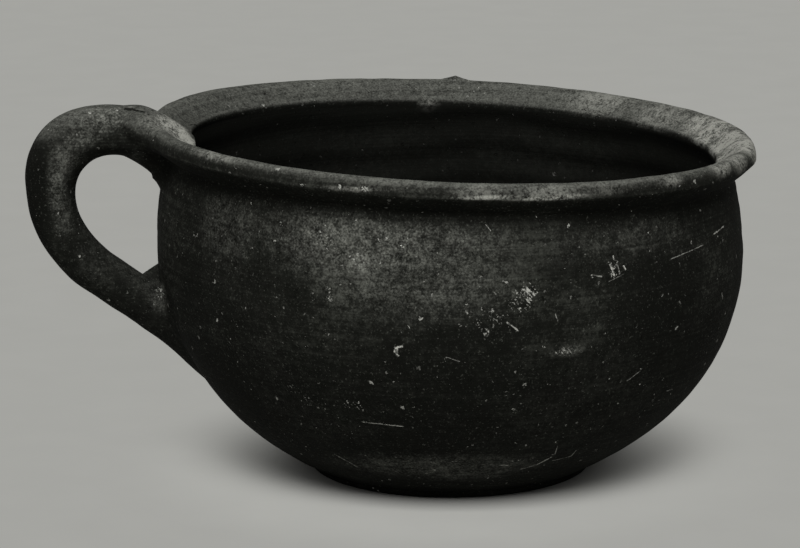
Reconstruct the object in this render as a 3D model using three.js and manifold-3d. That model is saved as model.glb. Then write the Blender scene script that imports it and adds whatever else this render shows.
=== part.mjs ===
// Coarse ware cup: a wheel-thrown bowl with a turned-out rim and a flat base, and one loop handle of rolled
// clay, luted over the lip and against the belly.
// Millimetres, +Z up. The origin is the centre of the base and the handle points along -X.
import * as THREE from "three";
import { mergeVertices } from "three/addons/utils/BufferGeometryUtils.js";
import Module from "manifold-3d";

// Thrown body, outside
const RIM_RADIUS = 65.4; // outermost line of the lip
const RIM_HEIGHT = 74; // crest of the lip above the base, before the rim's tilt
const LIP_NOSE_DROP = 3.2; // outermost line of the lip, below its crest
const LIP_NOSE_WIDTH = 2; // crest of the lip, inside its outermost line
const LIP_DEPTH = 6.7; // underside of the lip meets the neck this far below the crest
const LIP_OVERHANG = 5.2; // lip beyond the neck
const BELLY_SWELL = 2.6; // belly beyond the neck
const BELLY_HEIGHT = 48; // widest line of the belly
const BASE_RADIUS = 30.6; // top of the base's rounded edge
const BASE_EDGE = 1.6; // height and width of that rounding

// Thrown body, inside
const SHELF_WIDTH = 8.6; // from the lip's outermost line in to the throat
const SHELF_DROP = 3.6; // throat below the crest of the lip
const THROAT_ROUND = 1.2; // rounding of the throat's edge
const WALL = 4.2; // at the belly
const FLOOR = 5.5; // at the axis

// Marks of the hand on the body
const RIM_RISE = 2.7; // the mouth is not level: higher at the handle, lower opposite
const TILT_START = 30; // height where that tilt begins
const THUMB_PRESS = 2.4; // throat pushed inwards where the handle is luted on
const THUMB_WIDTH = 13; // reach of that push along the throat
const THUMB_DEPTH = 10; // reach of that push down the inner wall

// Handle: a rolled coil, slightly flattened and thickest at its upper bend
const HANDLE_THICKNESS = 10.8; // across the loop's plane it is HANDLE_WIDTH
const HANDLE_WIDTH = 12.4;
const BEND_THICKNESS = 12.3; // at the upper bend
const TAIL_THICKNESS = 9.5; // at the lower end
const TAIL_WIDTH = 11.2;
const HANDLE_RISE = 3.5; // top of the loop above the lip beside it
const CREST_OUT = 6.2; // top of the loop, outwards from the lip
const BOW_OUT = 25.6; // outermost point of the loop, outwards from the lip
const BOW_DROP = 12.3; // that point below the coil's centre at the top of the loop
const UPPER_DROP = 4; // centre of the coil at the lip's outermost line, below the crest beside it
const UPPER_SLOPE = 38; // degrees, of the coil where it comes up out of the neck and leaves the lip
const LOWER_HEIGHT = 33.4; // centre of the coil where it meets the belly
const LOWER_SLOPE = 35.6; // degrees, of the coil's straight run up from the belly
const LOWER_RUN = 17.9; // length of that run
const LOWER_ARM = 6.5; // control arm of the curve that runs into it

// Luting clay over the lip: a smear that thins out on the coil and at the throat
const PAD_THICKNESS = 2.5; // over the crest of the lip
const PAD_WIDTH = 15; // there
const PAD_LAP = 4.5; // how far it runs up the coil, outwards from the lip
const PAD_LAP_PROUD = 0.8; // above the coil where it ends
const PAD_LAP_INSET = 1.2; // inside the coil's flanks where it ends
const PAD_TIP_THICKNESS = 1.2; // at the throat
const PAD_TIP_WIDTH = 10;
const PAD_TIP_SETBACK = 1.2; // from the edge of the throat

// Luting clay round the lower end: a collar that fills the corner with the belly
const COLLAR_REACH = 7.5; // along the coil, out from the belly
const COLLAR_LIP = 0.9; // thickness where it runs out on the coil
const COLLAR_CROTCH = 3.6; // thickness at the belly, in the finger gap's corner
const COLLAR_FLANK = 2.8; // thickness at the belly, on both flanks

// Shapes of the curves, as shares
const UNDER_LIP_OUT = 0.3; // bend of the lip's underside, of its overhang
const SHELF_BEND = 0.3; // bend of the shelf, of its width in from the crest
const RISE_ROUND = 0.4; // control arms of the coil's rise from the lip, of the way to its top
const LOOP_ROUND = 0.62; // control arms of the upper bend, a little fuller than a quarter ellipse
const TAIL_ROUND = 0.45; // the same below the bow, where the loop straightens
const BEND_SHARE = 0.33; // thickest place of the coil, of its length
const BEND_REACH = 0.085; // how far that thickening reaches, of its length

// Fits and fineness
const SLIP_GAP = 0.3; // film of slip between luted pieces
const SUNK_END = 10; // how far a coil is run into the wall before it is trimmed to it
const WELD = 0.001; // corners closer than this are one corner
const TURN_STEPS = 64;
const CURVE_STEPS = 4;
const COIL_SIDES = 24;
const COIL_RINGS = 44;
const LUTING_RINGS = 14;

const wasm = await Module();
wasm.setup();
const { lerp, smoothstep, degToRad } = THREE.MathUtils;
const ACROSS = new THREE.Vector3(0, -1, 0); // square to the handle's plane

const CREST_RADIUS = RIM_RADIUS - LIP_NOSE_WIDTH;
const NECK_RADIUS = RIM_RADIUS - LIP_OVERHANG;
const NECK_HEIGHT = RIM_HEIGHT - LIP_DEPTH;
const BELLY_RADIUS = NECK_RADIUS + BELLY_SWELL;
const THROAT_RADIUS = RIM_RADIUS - SHELF_WIDTH;
const THROAT_HEIGHT = RIM_HEIGHT - SHELF_DROP;
const BESIDE_HANDLE = RIM_HEIGHT + RIM_RISE; // crest of the lip at the handle

// Half the height of the ellipse with this radius at its waist and that radius at the given distance from it.
function ellipseReach(waist, radius, distance) {
  return distance / Math.sqrt(1 - (radius / waist) ** 2);
}

const LOWER_REACH = ellipseReach(BELLY_RADIUS, BASE_RADIUS, BELLY_HEIGHT - BASE_EDGE);
const UPPER_REACH = ellipseReach(BELLY_RADIUS, NECK_RADIUS, NECK_HEIGHT - BELLY_HEIGHT);

// Outer radius of the wall at a height between the base and the neck.
function wallRadius(height) {
  const reach = height < BELLY_HEIGHT ? LOWER_REACH : UPPER_REACH;
  return BELLY_RADIUS * Math.sqrt(1 - ((height - BELLY_HEIGHT) / reach) ** 2);
}

// Outside of the body, from the axis under the base to the crest of the lip.
function outsideProfile() {
  const profile = new THREE.Path();
  const baseAngle = -Math.asin((BELLY_HEIGHT - BASE_EDGE) / LOWER_REACH);
  const neckAngle = Math.asin((NECK_HEIGHT - BELLY_HEIGHT) / UPPER_REACH);
  const noseHeight = RIM_HEIGHT - LIP_NOSE_DROP;
  profile.moveTo(0, 0);
  profile.lineTo(BASE_RADIUS - BASE_EDGE, 0);
  profile.quadraticCurveTo(BASE_RADIUS, 0, BASE_RADIUS, BASE_EDGE);
  profile.absellipse(0, BELLY_HEIGHT, BELLY_RADIUS, LOWER_REACH, baseAngle, 0, false);
  profile.absellipse(0, BELLY_HEIGHT, BELLY_RADIUS, UPPER_REACH, 0, neckAngle, false);
  const underRadius = lerp(NECK_RADIUS, RIM_RADIUS, UNDER_LIP_OUT);
  profile.quadraticCurveTo(underRadius, NECK_HEIGHT, RIM_RADIUS, noseHeight);
  profile.quadraticCurveTo(RIM_RADIUS, RIM_HEIGHT, CREST_RADIUS, RIM_HEIGHT);
  return profile;
}

// Shelf of the rim, from the crest of the lip to the rounded edge of the throat.
function addShelf(profile) {
  const bendRadius = lerp(CREST_RADIUS, THROAT_RADIUS, SHELF_BEND);
  profile.quadraticCurveTo(bendRadius, RIM_HEIGHT, THROAT_RADIUS + THROAT_ROUND, THROAT_HEIGHT);
}

// Inside of the body, from the shelf down to the axis on the floor.
function addInside(profile) {
  const waist = BELLY_RADIUS - WALL;
  const top = THROAT_HEIGHT - THROAT_ROUND;
  const reach = ellipseReach(waist, THROAT_RADIUS, top - BELLY_HEIGHT);
  const topAngle = Math.asin((top - BELLY_HEIGHT) / reach);
  profile.quadraticCurveTo(THROAT_RADIUS, THROAT_HEIGHT, THROAT_RADIUS, top);
  profile.absellipse(0, BELLY_HEIGHT, waist, reach, topAngle, 0, true);
  profile.absellipse(0, BELLY_HEIGHT, waist, BELLY_HEIGHT - FLOOR, 0, -Math.PI / 2, true);
}

// The same outline moved outwards by a distance, with its ends kept on the axis.
function offsetOutline(points, distance) {
  return points.map((point, index) => {
    const before = points[Math.max(index - 1, 0)];
    const after = points[Math.min(index + 1, points.length - 1)];
    const along = after.clone().sub(before).normalize();
    const moved = new THREE.Vector2(point.x + along.y * distance, point.y - along.x * distance);
    if (point.x < distance) moved.x = 0;
    return moved;
  });
}

// Hand marks: the rim tilts up towards the handle and the throat is pushed in beside it.
function settle(geometry) {
  const position = geometry.getAttribute("position");
  for (let index = 0; index < position.count; index++) {
    const x = position.getX(index);
    const y = position.getY(index);
    const z = position.getZ(index);
    const lift = (-x / RIM_RADIUS) * RIM_RISE * smoothstep(z, TILT_START, NECK_HEIGHT);
    const radius = Math.hypot(x, y);
    const inner = 1 - smoothstep(radius, THROAT_RADIUS, NECK_RADIUS);
    const high = smoothstep(z, THROAT_HEIGHT - THUMB_DEPTH, THROAT_HEIGHT);
    const beside = x < 0 ? Math.exp(-((y / THUMB_WIDTH) ** 2)) : 0;
    const push = radius > THROAT_RADIUS / 2 ? THUMB_PRESS * inner * high * beside : 0;
    position.setXYZ(index, x + push, y, z + lift);
  }
  return geometry;
}

// A turned shape from an outline of radius and height, which starts and ends on the axis.
function turned(outline) {
  return settle(new THREE.LatheGeometry(outline, TURN_STEPS).rotateX(Math.PI / 2));
}

// A closed surface as a solid that can be joined and cut.
function solidOf(geometry) {
  const bare = geometry.clone();
  bare.deleteAttribute("normal");
  bare.deleteAttribute("uv");
  const merged = mergeVertices(bare, WELD);
  const vertProperties = merged.getAttribute("position").array;
  return new wasm.Manifold(new wasm.Mesh({ numProp: 3, vertProperties, triVerts: merged.index.array }));
}

function geometryOf(solid) {
  const mesh = solid.getMesh();
  const geometry = new THREE.BufferGeometry();
  geometry.setAttribute("position", new THREE.BufferAttribute(mesh.vertProperties, 3));
  geometry.setIndex(new THREE.BufferAttribute(mesh.triVerts, 1));
  geometry.computeVertexNormals();
  return geometry;
}

// A point of the handle's plane, given by its distance from the axis and its height.
function inPlane(out, height) {
  return new THREE.Vector3(-out, 0, height);
}

// A step along a slope in the handle's plane, outwards and upwards.
function slopeStep(degrees, length) {
  const angle = degToRad(degrees);
  return inPlane(Math.cos(angle) * length, Math.sin(angle) * length);
}

// Centre line of the coil: out of the lip, over the crest, round the bow and straight down into the belly.
function coilCentre() {
  const atLip = inPlane(RIM_RADIUS, BESIDE_HANDLE - UPPER_DROP);
  const start = atLip.clone().sub(slopeStep(UPPER_SLOPE, SUNK_END));
  const crest = inPlane(RIM_RADIUS + CREST_OUT, BESIDE_HANDLE + HANDLE_RISE - HANDLE_THICKNESS / 2);
  const bow = inPlane(RIM_RADIUS + BOW_OUT - HANDLE_THICKNESS / 2, crest.z - BOW_DROP);
  const atBelly = inPlane(wallRadius(LOWER_HEIGHT), LOWER_HEIGHT);
  const end = atBelly.clone().sub(slopeStep(LOWER_SLOPE, SUNK_END));
  const runTop = atBelly.clone().add(slopeStep(LOWER_SLOPE, LOWER_RUN));
  const overCrest = new THREE.Vector3(lerp(crest.x, bow.x, LOOP_ROUND), 0, crest.z);
  const aboveBow = new THREE.Vector3(bow.x, 0, lerp(bow.z, crest.z, LOOP_ROUND));
  const belowBow = new THREE.Vector3(bow.x, 0, lerp(bow.z, runTop.z, TAIL_ROUND));
  const towardsRun = runTop.clone().add(slopeStep(LOWER_SLOPE, LOWER_ARM));
  const riseArm = atLip.distanceTo(crest) * RISE_ROUND;
  const offLip = atLip.clone().add(slopeStep(UPPER_SLOPE, riseArm));
  const beforeCrest = new THREE.Vector3(crest.x + riseArm, 0, crest.z);
  const centre = new THREE.CurvePath();
  centre.add(new THREE.LineCurve3(start, atLip));
  centre.add(new THREE.CubicBezierCurve3(atLip, offLip, beforeCrest, crest));
  centre.add(new THREE.CubicBezierCurve3(crest, overCrest, aboveBow, bow));
  centre.add(new THREE.CubicBezierCurve3(bow, belowBow, towardsRun, runTop));
  centre.add(new THREE.LineCurve3(runTop, end));
  return centre;
}

// Direction away from the finger gap, square to a line in the handle's plane.
function loopNormal(line, share) {
  return new THREE.Vector3().crossVectors(line.getTangentAt(share), ACROSS);
}

// A bar along a line in the handle's plane. At each share of the line, section gives how far the bar reaches
// from it on its outer side, on its inner side and on both flanks.
function swept(line, rings, section) {
  const bar = new THREE.CylinderGeometry(1, 1, 1, COIL_SIDES, rings);
  const position = bar.getAttribute("position");
  for (let index = 0; index < position.count; index++) {
    const share = position.getY(index) + 0.5;
    const { outer, inner, flank } = section(share);
    const reach = (position.getX(index) * (outer + inner) + outer - inner) / 2;
    const point = line.getPointAt(share);
    point.addScaledVector(loopNormal(line, share), reach);
    point.addScaledVector(ACROSS, position.getZ(index) * flank);
    position.setXYZ(index, point.x, point.y, point.z);
  }
  return bar;
}

// The coil itself, or the room that it takes up with a film of slip round it.
function coil(line, film) {
  return swept(line, COIL_RINGS, (share) => {
    const even = lerp(HANDLE_THICKNESS, TAIL_THICKNESS, share);
    const bend = Math.exp(-(((share - BEND_SHARE) / BEND_REACH) ** 2));
    const half = lerp(even, BEND_THICKNESS, bend) / 2 + film;
    return { outer: half, inner: half, flank: lerp(HANDLE_WIDTH, TAIL_WIDTH, share) / 2 + film };
  });
}

// Smear of clay from the edge of the throat, over the lip and up on to the coil.
function padBar(coilLine) {
  const lapShare = (SUNK_END + PAD_LAP) / coilLine.getLength();
  const lapHalf = HANDLE_THICKNESS / 2 - PAD_LAP_INSET;
  const rise = PAD_LAP_INSET + PAD_LAP_PROUD;
  const lap = coilLine.getPointAt(lapShare).addScaledVector(loopNormal(coilLine, lapShare), rise);
  const tip = inPlane(THROAT_RADIUS - THUMB_PRESS + PAD_TIP_SETBACK, THROAT_HEIGHT + RIM_RISE);
  const midHeight = BESIDE_HANDLE + PAD_THICKNESS - (PAD_TIP_THICKNESS + lapHalf) / 2;
  const over = inPlane(CREST_RADIUS, 2 * midHeight - (tip.z + lap.z) / 2);
  const line = new THREE.QuadraticBezierCurve3(tip, over, lap);
  return swept(line, LUTING_RINGS, (share) => {
    const half = lerp(PAD_TIP_THICKNESS, lapHalf, share);
    const ends = lerp(PAD_TIP_WIDTH / 2, HANDLE_WIDTH / 2 - PAD_LAP_INSET, share);
    const flank = lerp(ends, PAD_WIDTH / 2, Math.sin(Math.PI * share));
    return { outer: half, inner: half, flank };
  });
}

// Collar of clay round the coil where it meets the belly, thickest in the corner of the finger gap.
function collarBar() {
  const atBelly = inPlane(wallRadius(LOWER_HEIGHT), LOWER_HEIGHT);
  const rim = atBelly.clone().add(slopeStep(LOWER_SLOPE, COLLAR_REACH));
  const end = atBelly.clone().sub(slopeStep(LOWER_SLOPE, SUNK_END));
  const line = new THREE.LineCurve3(rim, end);
  return swept(line, LUTING_RINGS, (share) => {
    const spread = Math.min(1, (share * line.getLength()) / COLLAR_REACH) ** 2;
    return {
      outer: TAIL_THICKNESS / 2 + COLLAR_LIP,
      inner: TAIL_THICKNESS / 2 + lerp(COLLAR_LIP, COLLAR_CROTCH, spread),
      flank: TAIL_WIDTH / 2 + lerp(COLLAR_LIP, COLLAR_FLANK, spread),
    };
  });
}

function part(name, geometry, color) {
  const material = new THREE.MeshStandardMaterial({ color, roughness: 0.9, metalness: 0 });
  const mesh = new THREE.Mesh(geometry, material);
  mesh.name = name;
  return mesh;
}

// The thrown body, in one piece from the base to the lip.
const bodyProfile = outsideProfile();
addShelf(bodyProfile);
const skinOutline = bodyProfile.getPoints(CURVE_STEPS);
addInside(bodyProfile);
const body = turned(bodyProfile.getPoints(CURVE_STEPS));

// Room taken up by the body, with a film of slip: for the smear over the lip, and for the coil outside it.
const onShelf = [...skinOutline, new THREE.Vector2(0, THROAT_HEIGHT)];
const aboveLoop = BESIDE_HANDLE + HANDLE_RISE + HANDLE_THICKNESS;
const plug = [new THREE.Vector2(CREST_RADIUS, aboveLoop), new THREE.Vector2(0, aboveLoop)];
const underLoop = [...outsideProfile().getPoints(CURVE_STEPS), ...plug];
const shelfRoom = solidOf(turned(offsetOutline(onShelf, SLIP_GAP)));
const wallRoom = solidOf(turned(offsetOutline(underLoop, SLIP_GAP)));
const wall = solidOf(turned(underLoop));

// The coil, trimmed to the lip and the belly, and the luting clay trimmed to both.
const coilLine = coilCentre();
const coilRoom = solidOf(coil(coilLine, SLIP_GAP)).subtract(wall);
const handle = solidOf(coil(coilLine, 0)).subtract(wallRoom);
const pad = solidOf(padBar(coilLine)).subtract(shelfRoom).subtract(coilRoom);
const collar = solidOf(collarBar()).subtract(wallRoom).subtract(coilRoom);

const cup = new THREE.Group();
cup.name = "coarse_ware_cup";
cup.add(part("thrown_body", body, 0x3a3a35));
cup.add(part("handle", geometryOf(handle), 0x40403a));
cup.add(part("upper_luting", geometryOf(pad), 0x4a4a43));
cup.add(part("lower_luting", geometryOf(collar), 0x45453f));

export default cup;
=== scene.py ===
"""Coarse ware cup: a thrown bowl with a turned-out rim and one luted loop handle, made around its frame."""
import math
from collections import namedtuple

import bmesh
import bpy
from bpy.props import FloatProperty, FloatVectorProperty, IntProperty, PointerProperty
from mathutils import Matrix, Vector, noise
from mathutils.bvhtree import BVHTree
from mathutils.geometry import interpolate_bezier
from mathutils.kdtree import KDTree


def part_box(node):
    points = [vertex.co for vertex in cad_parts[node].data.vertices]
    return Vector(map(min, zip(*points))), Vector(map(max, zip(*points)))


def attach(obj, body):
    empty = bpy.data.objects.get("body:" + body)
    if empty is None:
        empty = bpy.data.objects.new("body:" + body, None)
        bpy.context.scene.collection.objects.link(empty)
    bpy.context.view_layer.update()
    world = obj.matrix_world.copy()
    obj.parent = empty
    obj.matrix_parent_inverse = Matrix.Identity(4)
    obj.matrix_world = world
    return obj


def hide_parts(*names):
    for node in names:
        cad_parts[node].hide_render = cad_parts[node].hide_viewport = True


bl_info = {
    "name": "Coarse ware cup",
    "version": (1, 0, 0),
    "blender": (4, 5, 0),
    "location": "3D View > Sidebar > Cup",
    "description": "Models a hand-thrown coarse ware cup and a plain stage around a loaded frame",
    "category": "Object",
}

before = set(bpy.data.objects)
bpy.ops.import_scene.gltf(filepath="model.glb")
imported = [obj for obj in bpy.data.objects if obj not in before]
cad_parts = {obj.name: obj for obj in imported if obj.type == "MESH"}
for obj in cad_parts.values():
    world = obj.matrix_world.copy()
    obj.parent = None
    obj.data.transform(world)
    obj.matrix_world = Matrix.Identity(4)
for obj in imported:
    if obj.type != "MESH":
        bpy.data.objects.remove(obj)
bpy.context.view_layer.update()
BODY_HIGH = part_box("thrown_body")[1]
HANDLE_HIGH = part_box("handle")[1]

MM = 0.001
TURN = 2 * math.pi
UP = Vector((0, 0, 1))
ACROSS = Vector((0, -1, 0))  # square to the handle's plane, towards the viewer

# Shapes of the curves, as shares
UNDER_LIP_OUT = 0.3  # bend of the lip's underside, of its overhang
CORNER_END = 0.3  # the rounded corner of the neck ends here, of the way along the lip's underside
SHELF_BEND = 0.3  # bend of the shelf, of its width in from the crest
RISE_ROUND = 0.4  # control arms of the coil's rise from the lip, of the way to its top
LOOP_ROUND = 0.62  # control arms of the upper bend, a little fuller than a quarter ellipse
TAIL_ROUND = 0.45  # the same below the bow, where the loop straightens
BEND_PART = 0.33  # thickest place of the coil, of its length
BEND_REACH = 0.105  # how far that thickening reaches, of its length
ARRIS_ROWS = 3  # rows on the lip are this many times finer, to keep its lower edge crisp
CRUST_SLANT = math.radians(50)  # streaks in the crusts, down to the right

# Crumb of clay left on the far lip
CRUMB_ANGLE = math.radians(82.4)
CRUMB_HEIGHT = 1.1 * MM
CRUMB_LENGTH = 2.0 * MM
CRUMB_WIDTH = 1.2 * MM

# Marks of the wheel and the hand on the body
SAME_PLACE = 1e-6  # vertices closer than this are one
FOOT_TRUE = 2.5 * MM  # the wall is true to its outline this close to the floor
SHOULDER = (40 * MM, 52 * MM)  # heights between which the wheel lines deepen
FINE_LINE = 1.1 * MM  # height of a fine wheel line
FINE_DEPTH = (0.025, 0.06)  # its depth in millimetres, below and on the shoulder
BROAD_LINE = 5.5 * MM
BROAD_DEPTH = (0.06, 0.1)
BROAD_SEED = 9
LINE_DRIFT = 0.5  # how far a line wanders in its noise on one turn
RING_SPACING = 7.5 * MM  # throwing rings inside
RING_HEIGHT = 0.28  # in millimetres
LIP_WORN = 0.1  # common wear of the lip in millimetres
NICK_DEPTH = 0.55  # in millimetres
COIL_WORN = 0.12  # how far the coil's dents lie under its true round, in millimetres
COIL_STEPS = 60  # points on each curve of the coil's centre line
DOME_LEAST = 0.02  # square of the smallest ring's share at the coil's ends

# Unevenness: the lumps' height in millimetres or as a share, their size in millimetres and their seed
Lumps = namedtuple("Lumps", "height size seed")
WALL_DENTS = (Lumps(0.2, 17, 1), Lumps(0.07, 5, 2))
INSIDE_DENTS = (Lumps(0.12, 9, 5),)
RING_WANDER = (Lumps(0.35, 30, 3),)
LIP_WEAR = (Lumps(0.2, 22, 7), Lumps(0.14, 6, 8))
COIL_DENTS = (Lumps(0.16, 8, 23), Lumps(0.06, 3, 24))
COIL_THICKNESS = (Lumps(0.012, 9, 21),)
COIL_WIDTH = (Lumps(0.02, 11, 22),)
EDGE_WANDER = (Lumps(0.1, 6, 31),)

# Spots: range of the noise over which they come up, its size in millimetres and its seed
Spots = namedtuple("Spots", "low high size seed")
NICKS = Spots(0.35, 0.62, 4.2, 11)
NICK_PATCHES = Spots(0.0, 0.4, 26, 12)

# Smear over the lip: its middle and half size, and the ranges over which its shape changes
UPPER_IN = 0.5 * MM  # middle inwards of the lip's crest
UPPER_DEEP = 2 * MM  # and below it
UPPER_REACH = Vector((13 * MM, 25 * MM, 14 * MM))
NEAR_SIDE = (1 * MM, 6 * MM)
NEAR_CREST = 2 * MM
ROOT_UNDER = (-1.5 * MM, 2.5 * MM)
SADDLE_WIDTH = 6 * MM
SADDLE_EDGE = (6.6 * MM, 5 * MM)
SADDLE_OUT = 8 * MM
SADDLE_DOWN = 4 * MM
SADDLE_UP = 1 * MM

# Clay in the corner of the coil and the belly
LOWER_MIDDLE = Vector((1.5 * MM, 0, -0.5 * MM))
LOWER_REACH = Vector((15 * MM, 16 * MM, 17 * MM))
LUMP_PLACE = Vector((-1.0 * MM, -6.5 * MM, 3.0 * MM))
LUMP_HEIGHT = 0.9 * MM
LUMP_SIZE = 4.5 * MM
FAR_SIDE = (1.5 * MM, 6 * MM)
TAIL_UNDER = (-1 * MM, 4 * MM)
WEB_SIDE = (-1 * MM, 2.5 * MM)
WEB_DEPTH = 0.3  # of the wall
ROOT_DEPTH = (0.4, 0.6)  # of the wall

FILM = 0.05 * MM  # thinnest smear
SMEAR_FADE = (0.5, 0.95)  # where a smear thins out, of the way to its edge

# The photograph's frame, and the pixel where the camera's target falls
PHOTO_WIDTH = 800
PHOTO_HEIGHT = 548
TARGET_PIXEL = (450.0, 281.7)

STROKE_REACH = 2.0 * MM  # vertices this close to a stroke carry its strength
STROKE_MARGIN = 4.5 * MM  # and those this close know their place beside it
STROKE_EDGE = (1.0, 0.35)  # a stroke fades in between these, of half its width
STROKE_END = (0.54, 0.46)  # and between these past its middle, of its length
NO_STROKE = (9.0, 0.5, 0.0)  # what a vertex carries that is far from all strokes
PATCH_SEARCH = 1.5  # a patch is painted this far from its middle, of its reach
PATCH_FADE = (0.35, 1.35)  # and fades out between these

# Noises in the clay: scale, detail and roughness
NOISES = {
    "cloud": (24, 5, 0.55),
    "blotch": (120, 6, 0.62),
    "grit": (620, 5, 0.68),
    "fine": (2300, 3, 0.6),
    "clot": (1500, 4, 0.65),
}
WAVER_NOISE = (1300, 3, 0.55)
WHEEL_STREAK = (40 * MM, 40 * MM, 0.6 * MM)
WHEEL_NOISE = (1.0, 3, 0.6)
HATCH_STREAK = (2.2 * MM, 2.2 * MM, 0.36 * MM)
HATCH_NOISE = (1.0, 2, 0.5)
FLOOR_NOISE = (60, 5, 0.55)
RAGGED = (1700, 1.5 * MM)  # scale and reach of the noise that makes flecks ragged

# What shows on the clay: share of each noise in it, and the range over which it comes up
Mark = namedtuple("Mark", "shares low high")
# Breaks up the painted shade patches
SHADE_BREAKUP = Mark({"cloud": 0.4, "grit": 0.6}, 0.2, 0.5)
GRAINS = Mark({"fine": 0.6, "clot": 0.4}, 0.56, 0.68)
DRY = Mark({"cloud": 0.2, "blotch": 0.25, "grit": 0.3, "fine": 0.25}, 0.36, 0.66)
BROKEN = Mark({"grit": 0.3, "fine": 0.5, "wheel": 0.2}, 0.29, 0.71)
RUBBED = Mark({"blotch": 0.25, "grit": 0.4, "fine": 0.35}, 0.4, 0.6)
STROKE_GAPS = Mark({"grit": 1.0, "fine": 1.0}, 0.84, 1.1)

# Shares in other sums
TONE = {"cloud": 0.3, "blotch": 0.2, "grit": 0.36, "wheel": 0.2, "fine": 0.2}
GRAIN_CROWD = {"cloud": 0.7, "blotch": 1.4, "soot_and_shade": -0.3}
CRUMBS = {"clot": 0.3, "fine": 0.4, "hatch": 0.3}
FLECK_CROWD = {"blotch": 3.2, "bloom": 0.3}
RELIEF = {"fine": 0.22, "grit": 0.5, "wheel": 0.35, "lime": 0.3, "pits": -0.9}

# Numbers of the clay's look
DARK_TONE, MIDDLE_TONE, LIGHT_TONE = 0.49, 0.63, 0.82  # tones that get the three clay colours
# The lower body darker: fire-blackened, and painted shade where it turns from the light
LOW_DARK_WANDER = 0.022  # how far blotches shift the edge of the darker lower body, in metres
LOW_DARK_LINE = (63 * MM, 45 * MM)
LOW_DARK_SHARE = 0.72
LIP_SHADE = (0.2 * MM, -0.8 * MM)  # painted shade under the lip, from its outermost line
NECK_SHADE = (-5 * MM, -0.5 * MM)  # and from the neck's corner
RIM_PAST = 1 * MM
# Strength of the painted shade under the lip
LIP_SHADE_SHARE = 0.8
LYING = (0.1, 0.95)  # dust lies on faces that look up, between these
RIM_DUST = (-3 * MM, 1 * MM)  # from the throat's edge
RIM_LYING = 0.58
COMMON_LYING = 0.1
# Darkening of the inside: sooting, and painted shade deep in the bowl
INSIDE_SOOT_AND_SHADE = 0.85
INSIDE_CLEAN = 0.8  # share of lime that is missing inside
WAVER = 2.8  # how far a stroke's edge wavers, of half its width
GAP_DEPTH = 0.85  # share of a stroke that is missing in its gaps
CRUST_LEVEL = 0.742  # noise above this is lime where there is no crust
CRUST_FILL = 0.28  # and this much less where there is
CRUST_SOFT = 0.1
CRUST_SHARE = 0.8
FLECKS = ((330, 0.75, 0.17), (700, 0.55, 0.19))  # scale, rarity and widest share of a cell
FLECK_RARE = 1.02
FLECK_CORE = 0.55  # crisp part of a fleck
FLECK_UNEVEN = 0.75  # how much paler one fleck is than another
PITS = (560, 0.6, 0.24)
PIT_SHARE = 0.85
RELIEF_STRENGTH = 0.7
RELIEF_DEPTH = 0.35 * MM
ROUGH_SPREAD = 0.3
ROUGH_LEAST = 0.66
CLAY_SHEEN = 0.02

# Floor and lights
FLOOR_WORN = 0.94  # darker tone of the floor, of its colour
FLOOR_ROUGH = 0.95
FLOOR_SHEEN = 0.1
FLOOR_CELLS = 4
FLOOR_HALF = 6.0
OVERHEAD_PLACE = Vector((-0.35, 0.1, 1.3))
OVERHEAD_SIZE = 1.4
FRONT_PLACE = Vector((-0.15, -1.1, 1.1))
FRONT_SIZE = 0.65

# A pale stroke on the clay: photograph pixels of its ends, half its width in millimetres and its strength
Stroke = namedtuple("Stroke", "name start end width strength")
# The same stroke found on the clay, in metres, with the clay's direction there
Scratch = namedtuple("Scratch", "start end normal width strength")
# A patch on the clay: photograph pixel of its middle, its reach in millimetres across and up, its strength
Patch = namedtuple("Patch", "name middle across up strength")


def rows(kind, *values):
    """Rows of a table, all of one kind."""
    return tuple(kind(*row) for row in values)


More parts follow.
